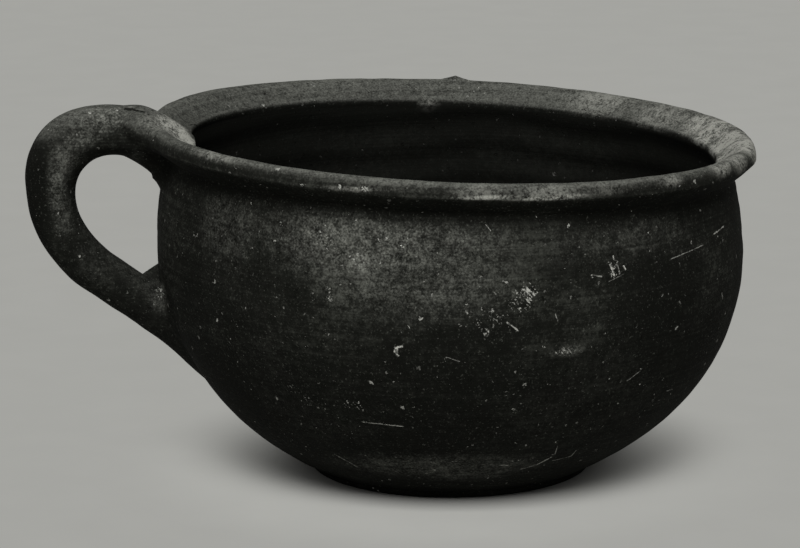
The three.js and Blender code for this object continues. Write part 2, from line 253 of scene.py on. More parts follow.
STROKES = rows(
    Stroke,
    ("fork_tip", (612.8, 255.7), (614.1, 259.5), 0.22, 0.8),
    ("fork_stem", (610.3, 264), (614.7, 276.7), 0.24, 0.9),
    ("fork_tine", (617.3, 265.3), (619.8, 274.2), 0.2, 0.8),
    ("fork_barb", (623.7, 265.3), (625.6, 270), 0.24, 0.9),
    ("fork_foot", (623.7, 274.2), (608.4, 281.8), 0.13, 0.45),
    ("fork_side", (591.1, 274.8), (602, 276.7), 0.16, 0.6),
    ("fork_dot", (598.2, 281.8), (599, 285), 0.28, 0.8),
    ("shoulder_nick", (485.3, 224.4), (491, 230.8), 0.13, 0.6),
    ("crust_tail", (507, 322), (518.4, 331), 0.2, 0.7),
    ("crust_fleck", (502.9, 280.6), (508.5, 283.8), 0.22, 0.7),
    ("short_cut", (555.4, 313.7), (558, 321.4), 0.13, 0.6),
    ("hook_stem", (395.4, 353), (396.9, 347.3), 0.5, 1),
    ("hook_arm", (396.9, 347.3), (403, 346.3), 0.32, 0.9),
    ("hook_foot", (395.9, 353.5), (398.5, 356.5), 0.3, 0.8),
    ("hair_line", (446.4, 357), (459.7, 361.6), 0.1, 0.5),
    ("long_graze", (361.2, 421.8), (381, 424), 0.18, 0.6),
    ("long_graze_end", (381, 424), (403.5, 426.4), 0.18, 0.7),
    ("right_gleam", (713.7, 234.3), (723.9, 226.1), 0.2, 0.8),
    ("right_graze", (671.3, 258.8), (703, 245), 0.12, 0.6),
    ("right_tick", (721.8, 293), (722.9, 299), 0.2, 0.6),
    ("low_tick", (666.5, 391), (672.5, 389.4), 0.16, 0.6),
    ("low_graze", (627, 381), (640, 371), 0.13, 0.5),
    ("foot_left", (334.5, 454), (350.7, 463), 0.15, 0.5),
    ("foot_left_end", (350.7, 463), (357.5, 467.2), 0.12, 0.4),
    ("foot_right", (520.5, 469.3), (536.9, 464.7), 0.16, 0.6),
    ("foot_right_rise", (536.9, 464.7), (551.5, 457), 0.2, 0.7),
    ("foot_right_far", (552.4, 460.7), (571.4, 456), 0.13, 0.45),
    ("foot_right_end", (571.4, 456), (576.5, 450), 0.14, 0.5),
    ("foot_right_tick", (555, 454.3), (557.6, 445.7), 0.12, 0.5),
    ("foot_dash", (499, 465.2), (508.4, 465.2), 0.25, 0.6),
)

# Creases left in the clay by the hand, with painted shade along their bottoms
CREASE_SHADES = rows(
    Stroke,
    ("crest_crease", (124.5, 108.4), (134.5, 109.6), 0.6, 0.9),
    ("crest_crease_end", (134.5, 109.6), (145, 112.2), 0.6, 1),
    ("saddle_crease", (179, 117), (187, 122.5), 0.3, 0.6),
    ("saddle_crease_end", (189, 125.5), (195.5, 133), 0.35, 0.8),
    ("saddle_nick", (169, 127.5), (174.5, 130), 0.3, 0.7),
)

CRUSTS = rows(
    Patch,
    ("big_crust", (527, 294), 3.8, 3.4, 0.92),
    ("big_crust_trail", (520, 303), 4.8, 3.6, 0.78),
    ("second_crust", (488, 322), 4.8, 3.6, 0.79),
    ("second_crust_tail", (487, 339), 1.8, 2.8, 0.9),
    ("second_crust_head", (466, 312), 1.8, 2.6, 0.78),
    ("lip_curl", (228.5, 168.5), 0.9, 0.8, 1),
    ("lip_curl_end", (238, 168), 0.9, 0.5, 0.9),
    ("lip_dot", (303.5, 184.5), 1.2, 0.8, 1.1),
    ("lip_dot_mid", (339.5, 187), 0.8, 1, 1.05),
    ("lip_dots", (363, 189), 2.4, 1, 0.95),
    ("left_spray", (322, 236), 4.6, 3.6, 0.66),
    ("left_spray_low", (360, 260), 2.4, 3, 0.76),
    ("left_dots", (194, 238), 1.6, 2.2, 0.8),
    ("low_dust", (312, 402), 6, 3, 0.67),
    ("crust_dot", (497.4, 266.9), 0.9, 0.8, 0.9),
    ("crust_dot_high", (525.5, 275.5), 1.1, 0.8, 0.8),
    ("crust_dot_low", (495.5, 310.3), 0.8, 0.7, 0.9),
    ("crust_dot_right", (502.5, 315.9), 0.8, 0.6, 0.9),
    ("crust_dot_left", (445.7, 280.8), 0.9, 0.6, 0.7),
    ("pair_high", (330.2, 291.5), 0.8, 1.2, 1),
    ("pair_low", (330.8, 299.4), 1.4, 1, 1.05),
    ("centre_dot", (405.6, 301.9), 1, 0.7, 0.8),
    ("centre_dot_right", (432.1, 303), 0.7, 0.7, 0.7),
    ("hook_dot", (409.2, 363.5), 0.9, 0.5, 0.8),
    ("low_spray", (352, 406), 3.8, 2.4, 0.8),
    ("low_spray_left", (294, 389), 2.4, 1.8, 0.8),
    ("low_spray_right", (360.7, 407), 1.1, 0.7, 0.8),
    ("right_pair", (664.2, 250.6), 0.7, 0.6, 0.7),
    ("right_pair_far", (672.3, 248.6), 0.9, 0.6, 0.8),
    ("right_crumb", (641.7, 299.6), 1, 0.8, 0.7),
    ("right_dash", (566, 351), 3.2, 1.5, 0.92),
    ("right_spray", (634, 375), 3, 2, 0.66),
    ("fork_spray", (615, 269), 2.6, 3, 0.9),
    ("low_dot", (525.7, 445.2), 1, 0.7, 0.95),
    ("low_dot_mid", (522, 359), 1, 0.8, 1),
    ("low_dot_right", (549, 396), 0.7, 0.7, 0.8),
    ("foot_smudge", (476, 471), 2.4, 1, 0.7),
    ("foot_smudge_left", (456, 462), 2.4, 0.9, 0.7),
    ("tail_flecks", (161, 292), 2.6, 3.6, 0.74),
)

# Paler patches: wear on the lip and the shelf, and a painted highlight along the lip's crest beside the
# saddle
WEARS_AND_HIGHLIGHT = rows(
    Patch,
    # Painted highlight along the lip's crest
    ("lip_wear_left", (218, 155), 6, 1.2, 0.5),
    ("lip_wear_mid", (478, 192), 5.5, 1.4, 0.34),
    ("lip_wear_right", (546, 193), 7, 1.5, 0.42),
    ("lip_wear_far", (606, 189), 5, 1.4, 0.2),
    ("lip_wear_end", (672, 181), 3, 1.2, 0.5),
    ("lip_wear_side", (722, 167), 4, 1.8, 0.9),
    ("lip_arris", (552, 197.6), 8, 0.6, 0.9),
    ("lip_arris_mid", (486, 197.4), 6, 0.5, 0.9),
    ("lip_arris_left", (352, 189), 6, 0.5, 0.4),
    ("drip", (428, 105), 1.8, 1.6, 0.6),
    ("lip_wear_low", (380, 187), 7, 1.2, 0.08),
    ("right_shelf", (714, 131), 7, 3.4, 1.7),
    ("right_shelf_end", (726, 141), 6, 4, 2),
    ("right_shelf_turn", (738, 147), 8, 4, 2.6),
    ("right_shelf_side", (735, 158), 5, 3, 0.9),
    ("right_shelf_near", (697, 124), 5, 2.6, 1.2),
    ("right_shelf_far", (664, 116), 9, 3, 0.5),
    ("far_shelf", (602, 102), 9, 3, 0.45),
    ("saddle", (172, 128), 7, 4, 1.1),
    ("saddle_near", (176, 136), 5.5, 3, 1.2),
    ("saddle_end", (190, 141), 3.6, 2.6, 2),
)

DUSTS = rows(
    Patch,
    ("front_bloom", (376, 244), 25, 8, 1),
    ("front_bloom_low", (412, 278), 20, 8.5, 0.6),
    ("left_bloom", (228, 226), 9, 7, 0.5),
    ("bloom_knot", (323, 236), 5, 3.6, 1.6),
    ("bloom_knot_low", (359, 258), 2.6, 3.8, 1.6),
    ("bloom_knot_right", (394, 238), 4, 2.6, 1.3),
    ("right_bloom", (626, 240), 20, 4, 0.2),
    ("right_shelf_bloom", (716, 133), 9, 4, 1.6),
    ("right_shelf_bloom_end", (736, 147), 9, 4.5, 1.6),
    ("right_smudge", (567, 351), 3.4, 1.3, 0.8),
    ("crest_bloom", (104, 115), 9, 3, 1.2),
    ("loop_strip", (57, 186), 1.9, 7, 0.9),
    ("loop_strip_high", (64, 158), 2.2, 4, 0.8),
    ("loop_strip_low", (62, 214), 2, 5, 0.55),
    ("loop_bend", (80, 139), 3.4, 2.6, 0.8),
    ("loop_bend_high", (97, 131), 3.6, 1.8, 0.7),
    ("loop_run", (95, 262), 4, 5, 0.15),
    ("tail_bloom", (162, 293), 2.8, 3.8, 0.6),
    ("foot_bloom", (440, 468), 20, 4, 0.6),
)

# Painted shade: the sides of the body and the outer side of the loop darkened as if turned from the light,
# and shade under the loop and beside its roots
PAINTED_SHADES = rows(
    Patch,
    ("right_side", (655, 325), 13, 17, 0.85),
    ("right_low", (600, 400), 20, 10, 0.6),
    ("right_shade", (572, 268), 9, 6, 0.7),
    ("left_side", (190, 300), 7, 12, 0.75),
    ("left_low", (236, 326), 9, 7, 0.75),
    ("loop_outer", (36, 190), 4.2, 15, 1),
    ("tail_under", (140, 313), 6, 4, 0.9),
    ("loop_low", (84, 262), 6, 8, 0.85),
    ("loop_under", (112, 151), 8, 1.4, 0.8),
    ("root_side", (165, 176), 7, 2.8, 0.85),
)

# What is painted on the clay under each name
PATCHES = {"dust": DUSTS, "crust": CRUSTS, "wear": WEARS_AND_HIGHLIGHT, "soot_and_shade": PAINTED_SHADES}


def length(name, description, millimetres):
    """A length that a user can change, given in millimetres and kept in metres."""
    return FloatProperty(name=name, description=description, default=millimetres * MM, subtype="DISTANCE")


def colour(name, description, value):
    """A linear colour that a user can change."""
    return FloatVectorProperty(
        name=name, description=description, default=value, size=3, min=0, max=1, subtype="COLOR"
    )


def share(name, description, value):
    """A plain share or strength that a user can change."""
    return FloatProperty(name=name, description=description, default=value)


def degrees(name, description, value):
    """An angle that a user can change, given in degrees."""
    return FloatProperty(name=name, description=description, default=math.radians(value), subtype="ANGLE")


def whole(name, description, value):
    """A whole number that a user can change."""
    return IntProperty(name=name, description=description, default=value)


class BodySettings(bpy.types.PropertyGroup):
    """Sizes of the thrown body, from the base to the lip."""

    rim_rise: length("Rim rise", "How much higher the lip is at the handle than level", 2.7)
    tilt_start: length("Tilt start", "Height where the rim's tilt begins", 30)
    nose_drop: length("Nose drop", "Outermost line of the lip below its crest", 3.2)
    nose_width: length("Nose width", "Crest of the lip inside its outermost line", 2)
    lip_depth: length("Lip depth", "Underside of the lip meets the neck this far below the crest", 6.7)
    lip_overhang: length("Lip overhang", "Lip beyond the neck", 5.2)
    neck_round: length("Neck round", "Rounding of the corner under the lip starts this far below it", 1.8)
    belly_swell: length("Belly swell", "Belly beyond the neck", 2.6)
    belly_height: length("Belly height", "Widest line of the belly", 48)
    base_radius: length("Base radius", "Top of the base's rounded edge", 30.6)
    base_edge: length("Base edge", "Height and width of the base's rounding", 1.6)
    shelf_width: length("Shelf width", "From the lip's outermost line in to the throat", 8.6)
    shelf_drop: length("Shelf drop", "Throat below the crest of the lip", 3.6)
    throat_round: length("Throat round", "Rounding of the throat's edge", 1.2)
    wall: length("Wall", "Thickness of the wall at the belly", 4.2)
    floor: length("Floor", "Thickness of the floor at the axis", 5.5)
    thumb_press: length("Thumb press", "Throat pushed inwards beside the handle", 2.4)
    thumb_width: length("Thumb width", "Reach of that push along the throat", 13)
    thumb_depth: length("Thumb depth", "Reach of that push down the inner wall", 10)
    lip_dip: length("Lip dip", "How far the lip is pressed down on the far side of the handle", 1)
    dip_side: length("Dip side", "Middle of that dip, from the handle's plane", 10)
    dip_reach: length("Dip reach", "How far along the lip it reaches", 16)
    sway: length("Sway", "How far the lower wall bulges away from the handle", 0.7)
    sway_height: length("Sway height", "Where it bulges most", 21)
    sway_reach: length("Sway reach", "How far up and down it bulges", 13)
    row: length("Row", "Distance between rows of the mesh", 0.5)
    turn_steps: whole("Turn steps", "Steps round the axis", 236)


class HandleSettings(bpy.types.PropertyGroup):
    """Sizes of the rolled coil that makes the loop."""

    thickness: length("Thickness", "Coil in the loop's plane, at the lip", 10.8)
    bend_thickness: length("Bend thickness", "Coil in the loop's plane, at the upper bend", 12.3)
    tail_thickness: length("Tail thickness", "Coil in the loop's plane, at the belly", 9.5)
    width: length("Width", "Coil across the loop's plane, at the lip", 12.2)
    tail_width: length("Tail width", "Coil across the loop's plane, at the belly", 11.2)
    crest_out: length("Crest out", "Top of the loop outwards from the lip", 7)
    bow_out: length("Bow out", "Outermost point of the loop outwards from the lip", 25.2)
    bow_drop: length("Bow drop", "Outermost point below the coil's centre at the top", 12.3)
    upper_drop: length("Upper drop", "Centre of the coil at the lip, below the crest beside it", 3.75)
    upper_slope: degrees("Upper slope", "Slope of the coil where it passes the lip", 30)
    root_slope: degrees("Root slope", "Slope of the coil inside the neck", 44)
    lower_height: length("Lower height", "Centre of the coil where it meets the belly", 33.4)
    lower_slope: degrees("Lower slope", "Slope of the coil's straight run up from the belly", 35.6)
    lower_run: length("Lower run", "Length of that run", 17.9)
    lower_arm: length("Lower arm", "Control arm of the curve that runs into it", 6.5)
    upper_end: length("Upper end", "How far the coil runs on into the neck, inwards of the lip", 8.5)
    lower_end: length("Lower end", "How far the coil runs on into the belly", 3.5)
    dome: length("Dome", "Length over which each end is rounded off inside the clay", 3.5)
    rings: whole("Rings", "Rings along the coil", 180)
    sides: whole("Sides", "Sides of the coil", 56)


class LutingSettings(bpy.types.PropertyGroup):
    """Sizes of the clay smeared over the handle's two joins."""

    smear: length("Smear", "Thickness of the smear over the lip", 1.1)
    near_blend: length("Near blend", "How far the near side of the upper join is rounded off", 10)
    far_blend: length("Far blend", "How far the far side of the upper join is rounded off", 2)
    root_blend: length("Root blend", "How far the underside of the upper join is rounded off", 3)
    root_height: length("Root height", "Underside of the upper join meets the neck at this height", 62.5)
    root_slope: degrees("Root slope", "Slope of that underside", 47)
    root_run: length("Root run", "How far out from the neck that slope is filled up", 2.4)
    crotch_blend: length("Crotch blend", "Rounding of the lower join's top on the near side", 2.2)
    web_blend: length("Web blend", "Rounding of the lower join's top on the far side", 7)
    web_size: length("Web size", "Slanting cut of the web that fills the same place", 4.2)
    tail_blend: length("Tail blend", "How far the underside of the lower join is rounded off", 5)
    feather: length("Feather", "How deep the edges of a smear dive under the clay beside them", 0.5)
    fineness: whole("Fineness", "Subdivisions of the smeared clay", 6)
    strokings: whole("Strokings", "Times that the clay is stroked smooth", 8)


class ClaySettings(bpy.types.PropertyGroup):
    """Colours of the fired clay."""

    # Also painted as shade in the creases
    dark: colour("Dark", "Darkest fired clay", (0.004, 0.0042, 0.0034))
    middle: colour("Middle", "Common tone of the fired clay", (0.0095, 0.0099, 0.0083))
    light: colour("Light", "Lightest fired clay", (0.048, 0.05, 0.0425))
    dust: colour("Dust", "Dry pale bloom on the clay", (0.16, 0.163, 0.144))
    # Also painted as shade: under the lip, on the sides, under the loop, inside the bowl and on the lower
    # body
    soot_and_shade: colour("Soot", "Fire-blackened clay", (0.0044, 0.0046, 0.0038))
    # Also painted as a highlight along the lip's crest
    wear: colour("Wear", "Clay rubbed pale on edges", (0.26, 0.26, 0.232))
    lime: colour("Lime", "Crusts and scratches of lime", (0.4, 0.4, 0.365))


class StageSettings(bpy.types.PropertyGroup):
    """Floor, lights and camera."""

    floor_colour: colour("Floor", "Colour of the floor", (0.5, 0.5, 0.472))
    distance: length("Distance", "From the camera to its target", 800)
    target_height: length("Target height", "Height of the camera's target on the axis", 40)
    azimuth: degrees("Azimuth", "Camera's turn round the cup", -6.5)
    elevation: degrees("Elevation", "Camera above the horizon", 12.545)
    lens: share("Lens", "Focal length in millimetres", 166.9)
    backdrop: share("Backdrop", "How light the ground behind is seen, of the floor's colour", 0.77)
    shadow_near: length("Shadow near", "Distance from the axis where the floor's shadow starts to fade", 28)
    shadow_far: length("Shadow far", "Distance from the axis where the floor has the backdrop's tone", 75)
    sky: share("Sky", "Strength of the even light from all round", 0.18)
    overhead: share("Overhead", "Power of the soft overhead light in watts", 5.0)
    front: share("Front", "Power of the soft light from the front left in watts", 26.0)


def ease(low, high, value):
    """Smooth step from 0 at low to 1 at high."""
    part = min(max((value - low) / (high - low), 0.0), 1.0)
    return part * part * (3 - 2 * part)


def mix(start, end, part):
    """Value between two others."""
    return start + (end - start) * part


def grain(point, size, seed=0.0):
    """Smooth noise from -1 to 1 whose features are about that size."""
    return noise.noise(point / size + Vector((seed, seed * 1.7, seed * 0.6)))


def lumpy(point, lumps):
    """Sum of lumps of several sizes."""
    return sum(lump.height * grain(point, lump.size * MM, lump.seed) for lump in lumps)


def spotted(point, spots):
    """1 on spots and 0 between them."""
    return ease(spots.low, spots.high, grain(point, spots.size * MM, spots.seed))


class Outline:
    """Driving radii and heights of the thrown body, worked out from the frame and the settings."""

    def __init__(self, body):
        self.rim = BODY_HIGH.y
        self.crest = self.rim - body.nose_width
        self.top = BODY_HIGH.z - body.rim_rise * self.crest / self.rim
        self.neck = self.rim - body.lip_overhang
        self.neck_height = self.top - body.lip_depth
        self.belly = self.neck + body.belly_swell
        self.belly_height = body.belly_height
        self.throat = self.rim - body.shelf_width
        self.throat_height = self.top - body.shelf_drop
        self.below = ellipse_reach(self.belly, body.base_radius, self.belly_height - body.base_edge)
        self.above = ellipse_reach(self.belly, self.neck, self.neck_height - self.belly_height)
        self.beside_handle = self.top + body.rim_rise

    def wall(self, height):
        """Outer radius of the wall at a height between the base and the neck."""
        reach = self.below if height < self.belly_height else self.above
        return self.belly * math.sqrt(1 - ((height - self.belly_height) / reach) ** 2)


def ellipse_reach(waist, radius, distance):
    """Half height of the ellipse that is this wide at its waist and that wide at a distance from it."""
    return distance / math.sqrt(1 - (radius / waist) ** 2)


def arc(waist, reach, centre, start, end, row):
    """Points of an ellipse's arc in the outline, without the first one."""
    steps = max(round(max(waist, reach) * abs(end - start) / row), 4)
    angles = [mix(start, end, step / steps) for step in range(1, steps + 1)]
    return [Vector((waist * math.cos(angle), 0, centre + reach * math.sin(angle))) for angle in angles]


def bend(points, control, end, row):
    """Points of a bend from the outline's last point, without that one."""
    start = points[-1]
    control, end = Vector((control[0], 0, control[1])), Vector((end[0], 0, end[1]))
    steps = max(round((end - start).length / row), 4)
    pull = 2 / 3
    curve = interpolate_bezier(start, start.lerp(control, pull), end.lerp(control, pull), end, steps + 1)
    return curve[1:]


def outer_outline(body, line):
    """Outside of the body, from the axis under the base to the crest of the lip."""
    nose_height = line.top - body.nose_drop
    flat = body.base_radius - body.base_edge
    steps = round(flat / (2 * body.row))
    points = [Vector((flat * step / steps, 0, 0)) for step in range(steps + 1)]
    points += bend(points, (body.base_radius, 0), (body.base_radius, body.base_edge), body.row / 2)
    low = -math.asin((line.belly_height - body.base_edge) / line.below)
    high = math.asin((line.neck_height - body.neck_round - line.belly_height) / line.above)
    points += arc(line.belly, line.below, line.belly_height, low, 0, body.row)
    points += arc(line.belly, line.above, line.belly_height, 0, high, body.row)
    neck, nose = Vector((line.neck, line.neck_height)), Vector((line.rim, nose_height))
    under = Vector((mix(line.neck, line.rim, UNDER_LIP_OUT), line.neck_height))
    towards = under.lerp(nose, CORNER_END)
    corner_end = neck.lerp(under, CORNER_END).lerp(towards, CORNER_END)
    points += bend(points, neck, corner_end, body.row)
    points += bend(points, towards, nose, body.row / ARRIS_ROWS)
    points += bend(points, (line.rim, line.top), (line.crest, line.top), body.row / ARRIS_ROWS)
    return points


def inner_outline(body, line, points):
    """Shelf, throat and inside of the body, on from the crest of the lip to the axis on the floor."""
    start = len(points)
    points += bend(
        points, (mix(line.crest, line.throat, SHELF_BEND), line.top),
        (line.throat + body.throat_round, line.throat_height), body.row,
    )
    top = line.throat_height - body.throat_round
    points += bend(points, (line.throat, line.throat_height), (line.throat, top), body.row / 2)
    shelf = len(points) - start
    waist = line.belly - body.wall
    reach = ellipse_reach(waist, line.throat, top - line.belly_height)
    depth = line.belly_height - body.floor
    points += arc(waist, reach, line.belly_height, math.asin((top - line.belly_height) / reach), 0, body.row)
    points += arc(waist, depth, line.belly_height, 0, -math.pi / 2, 2 * body.row)
    return shelf


def settle(body, line, point):
    """Hand marks: the rim tilts up towards the handle and the throat is pushed in beside it."""
    lift = -point.x / line.rim * body.rim_rise * ease(body.tilt_start, line.neck_height, point.z)
    radius = math.hypot(point.x, point.y)
    inner = 1 - ease(line.throat, line.neck, radius)
    high = ease(line.throat_height - body.thumb_depth, line.throat_height, point.z)
    beside = math.exp(-((point.y / body.thumb_width) ** 2)) if point.x < 0 else 0
    press = body.thumb_press * inner * high * beside if radius > line.throat / 2 else 0
    sway = body.sway * math.exp(-(((point.z - body.sway_height) / body.sway_reach) ** 2))
    dip = body.lip_dip * math.exp(-(((point.y - body.dip_side) / body.dip_reach) ** 2)) if point.x < 0 else 0
    lift -= dip * ease(line.neck_height, line.top, point.z)
    return point + Vector((press + sway, 0, lift))


def thrown_marks(point, inside):
    """How far the wheel and the hand left the wall off its true round, along its normal."""
    angle = math.atan2(point.y, point.x)
    if inside:
        turns = point.z / RING_SPACING + angle / TURN + lumpy(point, RING_WANDER)
        return MM * (RING_HEIGHT * math.sin(TURN * turns) + lumpy(point, INSIDE_DENTS))
    drift = Vector((LINE_DRIFT * math.cos(angle), LINE_DRIFT * math.sin(angle), 0))
    shoulder = ease(*SHOULDER, point.z)
    fine = noise.noise(drift + Vector((0, 0, point.z / FINE_LINE)))
    broad = noise.noise(drift + Vector((0, BROAD_SEED, point.z / BROAD_LINE)))
    dents = lumpy(point, WALL_DENTS)
    return MM * (dents + mix(*FINE_DEPTH, shoulder) * fine + mix(*BROAD_DEPTH, shoulder) * broad)


def lip_marks(body, line, point):
    """How far the lip is worn back from its true round, and the crumb that stands on it."""
    radius = math.hypot(point.x, point.y)
    outer = ease(line.neck, line.rim - body.nose_drop / 2, radius)
    outer *= ease(line.neck_height, line.top, point.z)
    worn = max(LIP_WORN + lumpy(point, LIP_WEAR), 0.0)
    nick = NICK_DEPTH * spotted(point, NICKS) * spotted(point, NICK_PATCHES)
    along = (math.atan2(point.y, point.x) - CRUMB_ANGLE) * radius
    across = radius - line.crest
    crumb = CRUMB_HEIGHT * math.exp(-((along / CRUMB_LENGTH) ** 2) - (across / CRUMB_WIDTH) ** 2)
    return crumb * ease(line.throat_height, line.top, point.z) - MM * outer * (worn + nick)


def merge_and_face_out(bm):
    """Joins vertices that share a place and turns every face outwards."""
    bmesh.ops.remove_doubles(bm, verts=bm.verts[:], dist=SAME_PLACE)
    bmesh.ops.recalc_face_normals(bm, faces=bm.faces[:])
    bm.normal_update()


def finish_mesh(name, bm, slot, *nodes):
    """Turns a bmesh into a smooth piece that rides on the frame and stands for its nodes."""
    merge_and_face_out(bm)
    for face in bm.faces:
        face.smooth = True
    mesh = bpy.data.meshes.new(name)
    bm.to_mesh(mesh)
    bm.free()
    piece = bpy.data.objects.new(name, mesh)
    bpy.context.scene.collection.objects.link(piece)
    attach(piece, "root")
    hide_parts(*nodes)
    return piece


def model_body(body, line):
    """Spins the outline round the axis, then lets the wheel, the hand and wear mark it."""
    points = outer_outline(body, line)
    outer_count = len(points)
    shelf_count = inner_outline(body, line, points)
    bm = bmesh.new()
    inside = bm.verts.layers.float.new("inside")
    ring = [bm.verts.new(point) for point in points]
    for index, vert in enumerate(ring):
        vert[inside] = 1.0 if index >= outer_count + shelf_count else 0.0
    edges = [bm.edges.new(pair) for pair in zip(ring, ring[1:])]
    bmesh.ops.spin(
        bm, geom=ring + edges, cent=(0, 0, 0), axis=UP, angle=TURN, steps=body.turn_steps, use_merge=True
    )
    merge_and_face_out(bm)
    for vert in bm.verts:
        point, normal = vert.co.copy(), vert.normal.copy()
        lip = lip_marks(body, line, point)
        low = ease(0, FOOT_TRUE, point.z)
        high = 1 - ease(line.neck_height, line.top - body.nose_drop, point.z)
        marks = thrown_marks(point, vert[inside] > 0.5) * low * high
        vert.co = settle(body, line, point + normal * (lip + marks))
    return finish_mesh("cup_wall", bm, "coarse_ware", "thrown_body")


def in_plane(out, height):
    """A point of the handle's plane, given by its distance from the axis and its height."""
    return Vector((-out, 0, height))


def slope_step(angle, distance):
    """A step along a slope in the handle's plane, outwards and upwards."""
    return in_plane(math.cos(angle) * distance, math.sin(angle) * distance)


def coil_centre(handle, line):
    """Centre line of the coil: out of the lip, over the crest, round the bow and down into the belly."""
    half = handle.thickness / 2
    at_lip = in_plane(line.rim, line.beside_handle - handle.upper_drop)
    start_arm = handle.upper_end / 3
    into_neck = at_lip - slope_step(handle.upper_slope, start_arm)
    start = at_lip - slope_step((handle.upper_slope + handle.root_slope) / 2, handle.upper_end)
    crest = in_plane(line.rim + handle.crest_out, HANDLE_HIGH.z - half)
    bow = in_plane(line.rim + handle.bow_out - half, crest.z - handle.bow_drop)
    at_belly = in_plane(line.wall(handle.lower_height), handle.lower_height)
    end = at_belly - slope_step(handle.lower_slope, handle.lower_end)
    run_top = at_belly + slope_step(handle.lower_slope, handle.lower_run)
    rise_arm = (crest - at_lip).length * RISE_ROUND
    pieces = (
        (start, start + slope_step(handle.root_slope, start_arm), into_neck, at_lip),
        (at_lip, at_lip + slope_step(handle.upper_slope, rise_arm), crest + Vector((rise_arm, 0, 0)), crest),
        (
            crest, Vector((mix(crest.x, bow.x, LOOP_ROUND), 0, crest.z)),
            Vector((bow.x, 0, mix(bow.z, crest.z, LOOP_ROUND))), bow,
        ),
        (
            bow, Vector((bow.x, 0, mix(bow.z, run_top.z, TAIL_ROUND))),
            run_top + slope_step(handle.lower_slope, handle.lower_arm), run_top,
        ),
        (run_top, run_top.lerp(end, 1 / 3), run_top.lerp(end, 2 / 3), end),
    )
    points = [start]
    for piece in pieces:
        points += interpolate_bezier(*piece, COIL_STEPS)[1:]
    return points


def evenly(points, count):
    """The same line with that many points at equal distances."""
    travelled = [0.0]
    for before, after in zip(points, points[1:]):
        travelled.append(travelled[-1] + (after - before).length)
    spaced, index = [], 0
    for step in range(count):
        goal = travelled[-1] * step / (count - 1)
        while index < len(points) - 2 and travelled[index + 1] < goal:
            index += 1
        part = (goal - travelled[index]) / (travelled[index + 1] - travelled[index])
        spaced.append(points[index].lerp(points[index + 1], part))
    return spaced


def coil_rings(handle, line):
    """Placing matrix of each ring along the coil, with its half thickness and half width in its scale."""
    points = evenly(coil_centre(handle, line), handle.rings)
    spacing = (points[1] - points[0]).length
    last = len(points) - 1
    rings = []
    for index, point in enumerate(points):
        along = (points[min(index + 1, last)] - points[max(index - 1, 0)]).normalized()
        outwards = along.cross(ACROSS)
        part = index / last
        bulge = math.exp(-(((part - BEND_PART) / BEND_REACH) ** 2))
        even = mix(handle.thickness, handle.tail_thickness, part)
        thick = mix(even, handle.bend_thickness, bulge) / 2 * (1 + lumpy(point, COIL_THICKNESS))
        wide = mix(handle.width, handle.tail_width, part) / 2 * (1 + lumpy(point, COIL_WIDTH))
        turned = Matrix((outwards, ACROSS, along)).transposed().to_4x4()
        to_end = min(spacing * min(index, last - index) / handle.dome, 1)
        dome = math.sqrt(max(1 - (1 - to_end) ** 2, DOME_LEAST))
        scale = Matrix.Diagonal((thick * dome, wide * dome, 1, 1))
        rings.append(Matrix.Translation(point) @ turned @ scale)
    return rings


def model_handle(handle, line):
    """Extrudes a round along the coil's centre line and leaves the hand's unevenness on it."""
    rings = coil_rings(handle, line)
    bm = bmesh.new()
    bmesh.ops.create_circle(bm, radius=1, segments=handle.sides, matrix=rings[0])
    end = bm.edges[:]
    for before, after in zip(rings, rings[1:]):
        grown = bmesh.ops.extrude_edge_only(bm, edges=end)["geom"]
        verts = {item for item in grown if isinstance(item, bmesh.types.BMVert)}
        edges = [item for item in grown if isinstance(item, bmesh.types.BMEdge)]
        end = [edge for edge in edges if verts.issuperset(edge.verts)]
        bmesh.ops.transform(bm, matrix=after @ before.inverted(), verts=list(verts))
    bmesh.ops.holes_fill(bm, edges=[edge for edge in bm.edges if edge.is_boundary])
    bmesh.ops.recalc_face_normals(bm, faces=bm.faces[:])
    bm.normal_update()
    for vert in bm.verts:
        vert.co += vert.normal * MM * (lumpy(vert.co, COIL_DENTS) - COIL_WORN)
    return finish_mesh("cup_handle", bm, "coarse_ware", "handle")


def depth_gauge(piece):
    """A function that measures how far a point is outside a piece, negative inside it."""
    bm = bmesh.new()
    bm.from_mesh(piece.data)
    normals = [sum((vert.normal for vert in face.verts), Vector()) for face in bm.faces]
    tree = BVHTree.FromBMesh(bm)
    bm.free()

    def measure(point):
        place, _, face, distance = tree.find_nearest(point)
        return math.copysign(distance, (point - place).dot(normals[face]))

    return measure


def rounded_union(first, second, reach):
    """Distance outside two pieces whose corner is filled with a round of that reach."""
    overlap = max(reach - abs(first - second), 0.0)
    return min(first, second) - overlap * overlap / (4 * reach)


def press_clay(bm, centre, field):
    """Moves each vertex out from the centre until it lies on the surface where the field is zero."""
    nearly, careful, halvings = 0.02 * MM, 0.5, 6
    for vert in bm.verts:
        direction = (vert.co - centre).normalized()
        inner, outer = 0.0, 0.0
        gap = field(centre)
        while gap < -nearly:
            inner = outer
            outer = inner - gap * careful + nearly
            gap = field(centre + direction * outer)
        for _ in range(halvings if gap > 0 else 0):
            middle = (inner + outer) / 2
            if field(centre + direction * middle) < 0:
                inner = middle
            else:
                outer = middle
        vert.co = centre + direction * outer


